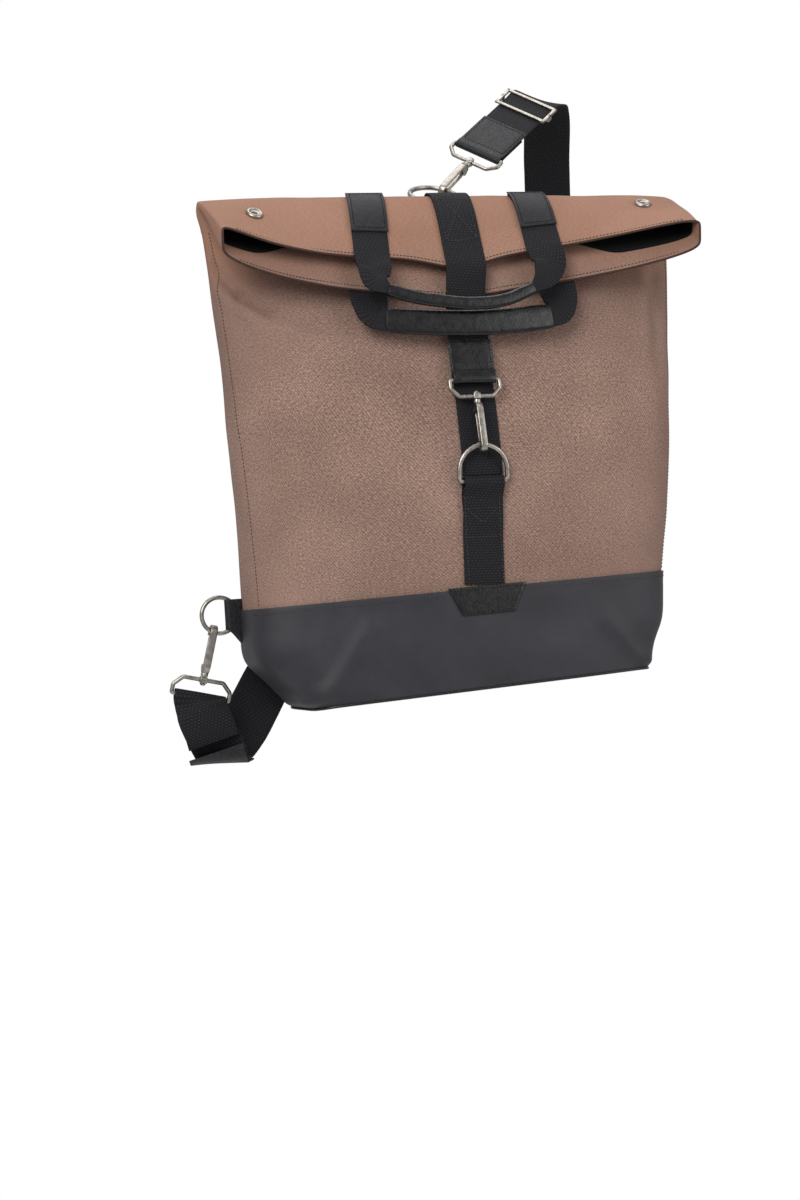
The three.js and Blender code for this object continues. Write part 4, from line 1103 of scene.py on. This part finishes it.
def plate(name, outline, depth, bevel, matrix):
    """A flat piece from an outline in local YZ, as thick as depth along X, with rounded edges."""
    bm = bmesh.new()
    face = bm.faces.new([bm.verts.new(Vector((-depth / 2, y, z))) for y, z in outline])
    grown = bmesh.ops.extrude_face_region(bm, geom=[face])["geom"]
    bmesh.ops.translate(bm, verts=[g for g in grown if isinstance(g, bmesh.types.BMVert)], vec=(depth, 0, 0))
    bmesh.ops.bevel(bm, geom=list(bm.edges), offset=bevel, segments=2,
                    profile=0.5, affect="EDGES", material=-1)
    bmesh.ops.recalc_face_normals(bm, faces=bm.faces)
    for vert in bm.verts:
        vert.co = place(matrix @ vert.co)
    obj = mesh_object(name, bm)
    obj.data.set_sharp_from_angle(angle=CREASE_ANGLE)
    return obj


def turned(name, profile, matrix, sides=24):
    """A turned piece: a profile of (radius, height) spun about local Z."""
    bm = bmesh.new()
    verts = [bm.verts.new((r, 0, h)) for r, h in profile]
    edges = [bm.edges.new(pair) for pair in zip(verts, verts[1:])]
    bmesh.ops.spin(bm, geom=verts + edges, cent=(0, 0, 0), axis=(0, 0, 1),
                   angle=2 * math.pi, steps=sides, use_merge=True)
    bmesh.ops.remove_doubles(bm, verts=bm.verts, dist=1e-4)
    bmesh.ops.recalc_face_normals(bm, faces=bm.faces)
    for vert in bm.verts:
        vert.co = place(matrix @ vert.co)
    obj = mesh_object(name, bm)
    obj.data.set_sharp_from_angle(angle=math.radians(45))
    return obj


def joined(name, parts):
    """One object from several, keeping each part's own surface."""
    bm = bmesh.new()
    for part in parts:
        bm.from_mesh(part.data)
    for part in parts:
        bpy.data.objects.remove(part)
    obj = mesh_object(name, bm)
    obj.data.set_sharp_from_angle(angle=CREASE_ANGLE)
    return obj


def arc(radius, start, end, z, count=12):
    return [(radius * math.cos(a), z + radius * math.sin(a)) for a in spread(start, end, count)]


def snap_hook(name, width, eye_distance):
    """A bracket of a given width, the hook that swivels in it, and the hook's gate."""
    matrix = hook_axes(name)
    half_bar = width / 2 - WIRE
    corners = [Vector(c) for c in ((-half_bar + 8, 0, 0), (half_bar - 8, 0, 0),
                                   (half_bar, 0, 8), (half_bar, 0, BRACKET_HEIGHT),
                                   (-half_bar, 0, BRACKET_HEIGHT), (-half_bar, 0, 8))]
    loop = wire_loop(f"{name}_loop", rounded_path(corners, 1.3, 3), WIRE, matrix)
    boss = plate(f"{name}_boss", [(-3.5, -3), (3.5, -3), (3.5, 3), (-3.5, 3)], 7, 0.8, matrix)
    settle(joined(f"{name}_strap_bracket", [loop, boss]), "bag", nickel, [f"{name}_bracket"])

    outer, low = EYE_RADIUS + STEM, -eye_distance
    outline = [(-outer, -12), (-3.4, -6.5), (3.4, -6.5), (outer, -10.5),
               (outer, -14), (EYE_RADIUS - 0.6, -14), (-EYE_RADIUS, -17)]
    outline += arc(EYE_RADIUS, math.pi, 2 * math.pi, low)
    outline += [(EYE_RADIUS, low + TIP_RISE), (outer, low + TIP_RISE)]
    outline += arc(outer, 2 * math.pi, math.pi, low)
    casting = plate(f"{name}_casting", outline, HOOK_WIDTH, 0.75, matrix)
    post = turned(f"{name}_post", [(0, -7.5), (3.2, -7.5), (3.4, -7),
                                   (3.4, -3.6), (1.4, -3.3), (1.4, 3.3), (2.7, 3.3), (2.6, 4.2),
                                   (1.6, 5.1), (0, 5.3)], matrix)
    settle(joined(f"{name}_snap_hook", [casting, post]), f"{name}_hook", nickel, [f"{name}_hook"])

    middle, radius = EYE_RADIUS + STEM / 2, STEM / 2
    top, bottom = -GATE_TOP + 2 * GAP - radius, low + TIP_RISE + TIP_GAP
    outline = [(middle + radius * math.cos(a), top + radius * math.sin(a)) for a in spread(math.pi, 0, 8)]
    outline += [(middle + radius, bottom), (middle - radius, bottom)]
    settle(plate(f"{name}_spring_gate", outline, HOOK_WIDTH * GATE_SHARE, 0.5, matrix),
           f"{name}_gate", nickel, [f"{name}_gate"])


def eye_distance(name):
    """From the pin to the middle of the hook's bend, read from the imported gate's lower end."""
    back = hook_axes(name).inverted()
    mesh = frame["nodes"][f"{name}_gate"].data
    return -min((back @ (v.co * 1000 + SEAT)).z for v in mesh.vertices) + TIP_RISE + TIP_GAP


for name, width in (("front", 52), ("top", 58), ("low", 58)):
    snap_hook(name, width, eye_distance(name))
print("hooks done")

# %% [markdown]
# ### Snap sockets
# A pressed socket has a dished rim and two spring wires across its hole. The rim is a profile spun about an
# axis, and one rotation sets it square to the cloth.

# %% Snap sockets
def snap_socket(name, x, z, node):
    """A pressed socket: a dished ring with two spring wires across its hole."""
    t = row_at(x, z, 1, ROW["fold_front"], HEM)
    phi = phi_at(x, t, 1)
    n = outward(phi, t)
    upright = Vector((0, 0, 1)).rotation_difference(n).to_matrix().to_4x4()
    matrix = Matrix.Translation(lifted(phi, t, 0.7)) @ upright
    dish = turned(f"{name}_dish", [(2.6, 0.4), (2.7, 0.9), (3.4, 1.1),
                                   (4.6, 1.4), (5.4, 2.2), (6.3, 2.4), (7.4, 1.7), (8, 0.7),
                                   (8, 0.1), (2.7, 0), (2.6, 0.4)], matrix, 40)
    parts = [dish]
    for k in (-1, 1):
        turn = matrix @ Matrix.Translation((0, k * 1.5, 0.6)) @ Matrix.Rotation(math.radians(90), 4, "Y")
        parts.append(turned(f"{name}_spring_{k + 1}", [(0, -3.6), (0.45, -3.6), (0.45, 3.6), (0, 3.6)],
                            turn, 8))
    back_plate = turned(f"{name}_back", [(0, 0.15), (2.8, 0.15), (2.8, 0.02), (0, 0.02)], matrix, 20)
    settle(joined(f"{name}_socket", parts + [back_plate]), "bag", nickel, [node])


snap_socket("snap_l", -189, 441.5, "snap_left")
snap_socket("snap_r", 193, 448, "snap_right")
print("snap sockets done")

# %% [markdown]
# ## The ring behind the fold
# A narrow webbing loop is sewn to the back of the fold and holds the upper ring.

# %% Loop behind the fold
LOOP_WIDTH = 16
lean = math.radians(TOP_RING_LEAN)
near = TOP_RING + Vector((0, -TOP_RING_RADIUS * math.cos(lean), -TOP_RING_RADIUS * math.sin(lean)))
near = near.lerp(TOP_RING, 0.75 / TOP_RING_RADIUS)
# how far the ring bends away from a straight line across the loop's width
sagitta = TOP_RING_RADIUS - math.sqrt(TOP_RING_RADIUS ** 2 - (LOOP_WIDTH / 2) ** 2)
loop_turn = TOP_RING_WIRE + 2 * GAP + sagitta / 2 + WEBBING / 2


def on_back(z, lift):
    return on_bag(TOP_RING.x, row_at(TOP_RING.x, z, 1, ROW["neck"], ROW["fold_back"]), 1, lift, LOOP_WIDTH)


stations = [(p, -n, w) for p, n, w in (on_back(z, PANEL_LIFT) for z in (400, 420, 438))]
for a in spread(0.15 * math.pi, 1.1 * math.pi, 7):
    stations.append((near + Vector((0, -math.cos(a), math.sin(a))) * loop_turn,
                     (0, -math.cos(a), math.sin(a)), LOOP_WIDTH))
stations += [on_back(436, 3.9), on_back(420, 3.3), on_back(402, 3.3)]
band("loop_behind_fold", stations, WEBBING, 120, webbing, ["top_ring_loop"], across=4)
print("loop turns at a radius of", round(loop_turn, 2), "mm")

# %% [markdown]
# ## The shoulder strap
# The wide strap starts in a leather end at the top bracket, passes a slider, curves over and down behind
# the bag, and turns up through the lower bracket. A cloth simulation would give one hanging form, but this
# strap is held at both ends, so stations place it exactly.

# %% Shoulder strap
STRAP_WIDTH = 48
top_matrix = hook_axes("top")
low_matrix = hook_axes("low")
top_bar = top_matrix @ Vector((0, 0, BRACKET_HEIGHT))
low_bar = low_matrix @ Vector((0, 0, BRACKET_HEIGHT))
lateral = top_matrix.to_3x3() @ Vector((1, 0, 0))
strap_along = Vector((0.767, 0.328, 0.553))
strap_along = (strap_along - lateral * strap_along.dot(lateral)).normalized()
strap_back = strap_along.cross(lateral)
end_matrix = Matrix.Translation(top_bar) @ Matrix((lateral, strap_back, strap_along)).transposed().to_4x4()

SHOULDER_ROUTE = [
    (161, 136, 580.5, 0.05, -0.25, 1), (172, 156, 571, 0.15, 0.6, 0.8), (182, 188, 527, 0.15, 0.95, 0.35),
    (194, 218, 460, 0.25, 0.97, 0.1), (214, 228, 395, 0.5, 0.85, 0), (236, 206, 320, 0.9, 0.4, -0.1),
    (232, 158, 262, 0.9, -0.4, -0.2), (186, 110, 214, 0.4, -0.9, -0.2),
                  (100, 88, 172, 0.1, -1, 0), (0, 80, 136, 0, -1, 0),
    (-90, 77, 92, 0, -1, 0), (-143, 74, 55, 0, -1, 0), (-176, 70, 20, 0, -1, 0), (-192, 64, -3, 0, -1, 0.1),
    (-207, 58, -24, 0, -0.95, 0.3), (-222, 52, -40, 0, -0.75, 0.65), (-230, 43, -46, 0.1, -0.1, 1),
    (-236, 34, -41, 0.1, 0.8, 0.55), (-243.5, 31.5, -26, 0.05, 1, 0.1), (-250.5, 31, -8, 0, 1, 0),
]
LOW_FRONT = [(-252.5, 18.6, -6, 0, -1, 0), (-248, 18.4, -20, 0, -1, -0.1), (-243.5, 23, -34, 0, -0.9, -0.4)]


def typed_stations(rows, width):
    """Stations from rows of a place (x, y, z) and a face direction (x, y, z)."""
    return [(Vector(row[:3]), row[3:], width) for row in rows]


stations = [(top_bar + strap_along * d, -strap_back, STRAP_WIDTH) for d in (12, 40, 64, 76, 88, 104)]
stations += typed_stations(SHOULDER_ROUTE, STRAP_WIDTH)
down = (low_matrix.to_3x3() @ Vector((0, 0, 1))).normalized()
low_side = down.cross(Vector((-0.986, 0, 0.168))).normalized()
for a in spread(0, math.pi, 8):
    n = low_side * math.cos(a) - down * math.sin(a)
    stations.append((low_bar + n * (WIRE + 0.5 + WEBBING / 2), n, STRAP_WIDTH))
stations += typed_stations(LOW_FRONT, STRAP_WIDTH)
strap_route = band("shoulder_strap_webbing", stations, WEBBING,
                   700, webbing, ["shoulder_strap"], across=10, crown=0.2)
print("strap length in mm", round(strap_route.length))
leather_end("strap_end_leather", end_matrix, 50, 42, 50, "strap_leather", grey_leather, "grey_leather")


# %% [markdown]
# ### Slider and keeper
# The slider is cast in one piece. Its bars are bevelled boxes joined into one object here, because they are
# easier to place than cuts in a plate. The keeper is one more band along the strap's lowest fold.

# %% Slider and keeper
def bar_box(name, matrix, centre, size):
    """A bar of the slider with softly rounded edges."""
    bm = bmesh.new()
    bmesh.ops.create_cube(bm, size=1, matrix=Matrix.Translation(centre) @ Matrix.Diagonal((*size, 1)))
    bmesh.ops.bevel(bm, geom=list(bm.edges), offset=0.7, segments=3, profile=0.5, affect="EDGES", material=-1)
    for vert in bm.verts:
        vert.co = place(matrix @ vert.co)
    return mesh_object(name, bm)


slider_matrix = end_matrix @ Matrix.Translation((0, 0, 88)) @ Matrix.Rotation(math.radians(90), 4, "X")
SLIDER_WIDTH = 58
SLIDER_LENGTH = 26
RAIL = 3.4
BAR_DEPTH = 2.4
face_z = WEBBING / 2 + GAP + BAR_DEPTH / 2
BARS = {
    "rail_a": ((0, -11.3, face_z), (SLIDER_WIDTH, RAIL, BAR_DEPTH)),
    "rail_b": ((0, 11.3, face_z), (SLIDER_WIDTH, RAIL, BAR_DEPTH)),
    "side_a": ((-27.3, 0, face_z), (RAIL, SLIDER_LENGTH, BAR_DEPTH)),
    "side_b": ((27.3, 0, face_z), (RAIL, SLIDER_LENGTH, BAR_DEPTH)),
    "under_bar": ((0, 0, -face_z), (SLIDER_WIDTH, RAIL, BAR_DEPTH)),
    "post_a": ((-27.5, 0, 0), (3, 5.4, 7.2)),
    "post_b": ((27.5, 0, 0), (3, 5.4, 7.2)),
}
bars = [bar_box(name, slider_matrix, centre, size) for name, (centre, size) in BARS.items()]
settle(joined("strap_slider", bars), "bag", nickel, ["slider"])

KEEPER = [(-224, 56, -47.5, 0, 0.5, -0.85), (-230, 46, -53, 0, 0.1, -1),
          (-236, 34, -54, 0, 0, -1), (-240, 23, -50.5, 0, -0.4, -0.9),
          (-242.2, 18.6, -45.5, 0, -0.8, -0.6), (-243, 17.5, -43, 0, -0.9, -0.4)]
stations = typed_stations(KEEPER, STRAP_WIDTH + 4)
band("strap_keeper", stations, LEATHER, 40, grey_leather, ["low_keeper"], round_mm=0.4)
print("slider and keeper done")

# %% [markdown]
# ## Side tab and label
# A leather tab folded round the lower ring is sewn into the base seam, and a plain leather label covers the
# end of the ring strap. Both have a stitched border.

# %% Side tab
def tab_shape(u, v):
    """The tab's outline from its root on the base round the ring and back, tall in the middle."""
    turn = 3.7
    flat = 24.0
    root = -198.5
    spread_out = 1.4
    arc_length = math.pi * turn
    s = v * (2 * flat + arc_length)
    if s < flat:
        rise = smooth_step(0, flat * 0.7, s)
        x, y = root - s, -turn * rise - spread_out * (1 - rise)
    elif s < flat + arc_length:
        a = (s - flat) / turn
        x, y = root - flat - turn * math.sin(a) * 0.95, -turn * math.cos(a)
    else:
        left = 2 * flat + arc_length - s
        rise = smooth_step(0, flat * 0.7, left)
        x, y = root - left, turn * rise + spread_out * (1 - rise)
    reach = 1 - smooth_step(-226, -205, x)
    low = mix(50, 68.5, reach)
    return Vector((x, LOW_RING.y + y * 0.92, mix(low, 96.2, u)))


tab = thicken(strip("side_tab_leather", 10, 60, tab_shape, (0.03, 0.06)), 1.3, 0, 0.3)
settle(tab, "bag", grey_leather, ["side_tab"])
for k, x in enumerate((-211.5, -217.5)):
    points = [Vector((x, LOW_RING.y - 4.25, z)) for z in spread(72, 94, 10)]
    stitches(f"side_tab_stitches_{k}", points, [Vector((0, -1, 0))] * 10,
             leather_thread, "grey_leather", pitch=3, length=2.1)


# %% [markdown]
# ### Label
# The label is plain pebbled leather that narrows downwards. It is laid on the base's own surface, a little
# lifted, so that it bends with it.

# %% Label
LABEL_HEIGHT = 26
label_top = skin(-math.pi / 2, ROW["seam"]).z + 2


def label_shape(u, v, lift=3.0):
    z = label_top - LABEL_HEIGHT * v
    x = (u - 0.5) * 2 * mix(38, 25, v)
    t = row_at(0, z, -1, 0, ROW["belly"])
    return lifted(phi_at(x, t, -1), t, lift)


label = thicken(strip("leather_label", 24, 12, label_shape, (0.07, 0.026)), 1.2, 0, 0.45)
settle(label, "bag", black_leather, ["label_patch"])
rim = [(0.05, 0.1), (0.95, 0.1), (0.94, 0.9), (0.06, 0.9), (0.05, 0.1)]
for k in range(4):
    points = [label_shape(mix(rim[k][0], rim[k + 1][0], f), mix(rim[k][1], rim[k + 1][1], f), 3.75)
              for f in spread(0, 1, 16)]
    stitches(f"leather_label_stitches_{k}", points, [Vector((0, -1, 0))] * 16,
             leather_thread, "leather", pitch=2.8, length=2)
print("tab and label done")

# %% [markdown]
# ## Stage and light
# The bag hangs from its strap, so a pale round floor lies well below it. The white surround is the world
# itself: it looks white to the camera and lights the bag more gently. Three large soft lights do the rest.

# %% Floor and lights
FLOOR_Z = -1.4
FLOOR_RADIUS = 1.05

bm = bmesh.new()
bmesh.ops.create_circle(bm, cap_ends=True, segments=96, radius=FLOOR_RADIUS)
bmesh.ops.translate(bm, verts=bm.verts, vec=(-0.16, -0.1, FLOOR_Z))
floor = mesh_object("floor", bm)
paper, tree, shader = new_material("pale_paper", roughness=0.9)
shader.inputs["Base Color"].default_value = linear("f4f4f4")
floor.data.materials.append(paper)


def soft_light(name, where, aim, size, power):
    data = bpy.data.lights.new(name, "AREA")
    data.size = size
    data.energy = power
    light = bpy.data.objects.new(name, data)
    light.location = where
    light.rotation_euler = (Vector(aim) - Vector(where)).to_track_quat("-Z", "Y").to_euler()
    bpy.context.scene.collection.objects.link(light)


MIDDLE = (-0.16, -0.14, -0.3)
soft_light("key", (-1.9, -2.3, 1.0), MIDDLE, 1.6, 70)
soft_light("fill", (1.9, -2.2, 0.2), MIDDLE, 2.0, 30)
soft_light("above", (0.0, 0.1, 1.9), MIDDLE, 1.8, 30)
world = bpy.data.worlds.new("studio")
bpy.context.scene.world = world
world.use_nodes = True
room = world.node_tree
soft_sky = room.nodes["Background"]
soft_sky.inputs[0].default_value = linear("f6f7fa")
soft_sky.inputs[1].default_value = 0.6
white = add_node(room, "ShaderNodeBackground", {"Color": linear("ffffff"), "Strength": 1.0})
seen = add_node(room, "ShaderNodeLightPath").outputs["Is Camera Ray"]
sky = add_node(room, "ShaderNodeMixShader", {0: seen, 1: soft_sky.outputs[0], 2: white.outputs[0]})
room.links.new(sky.outputs[0], room.nodes["World Output"].inputs[0])
bpy.context.scene.view_settings.view_transform = "Standard"
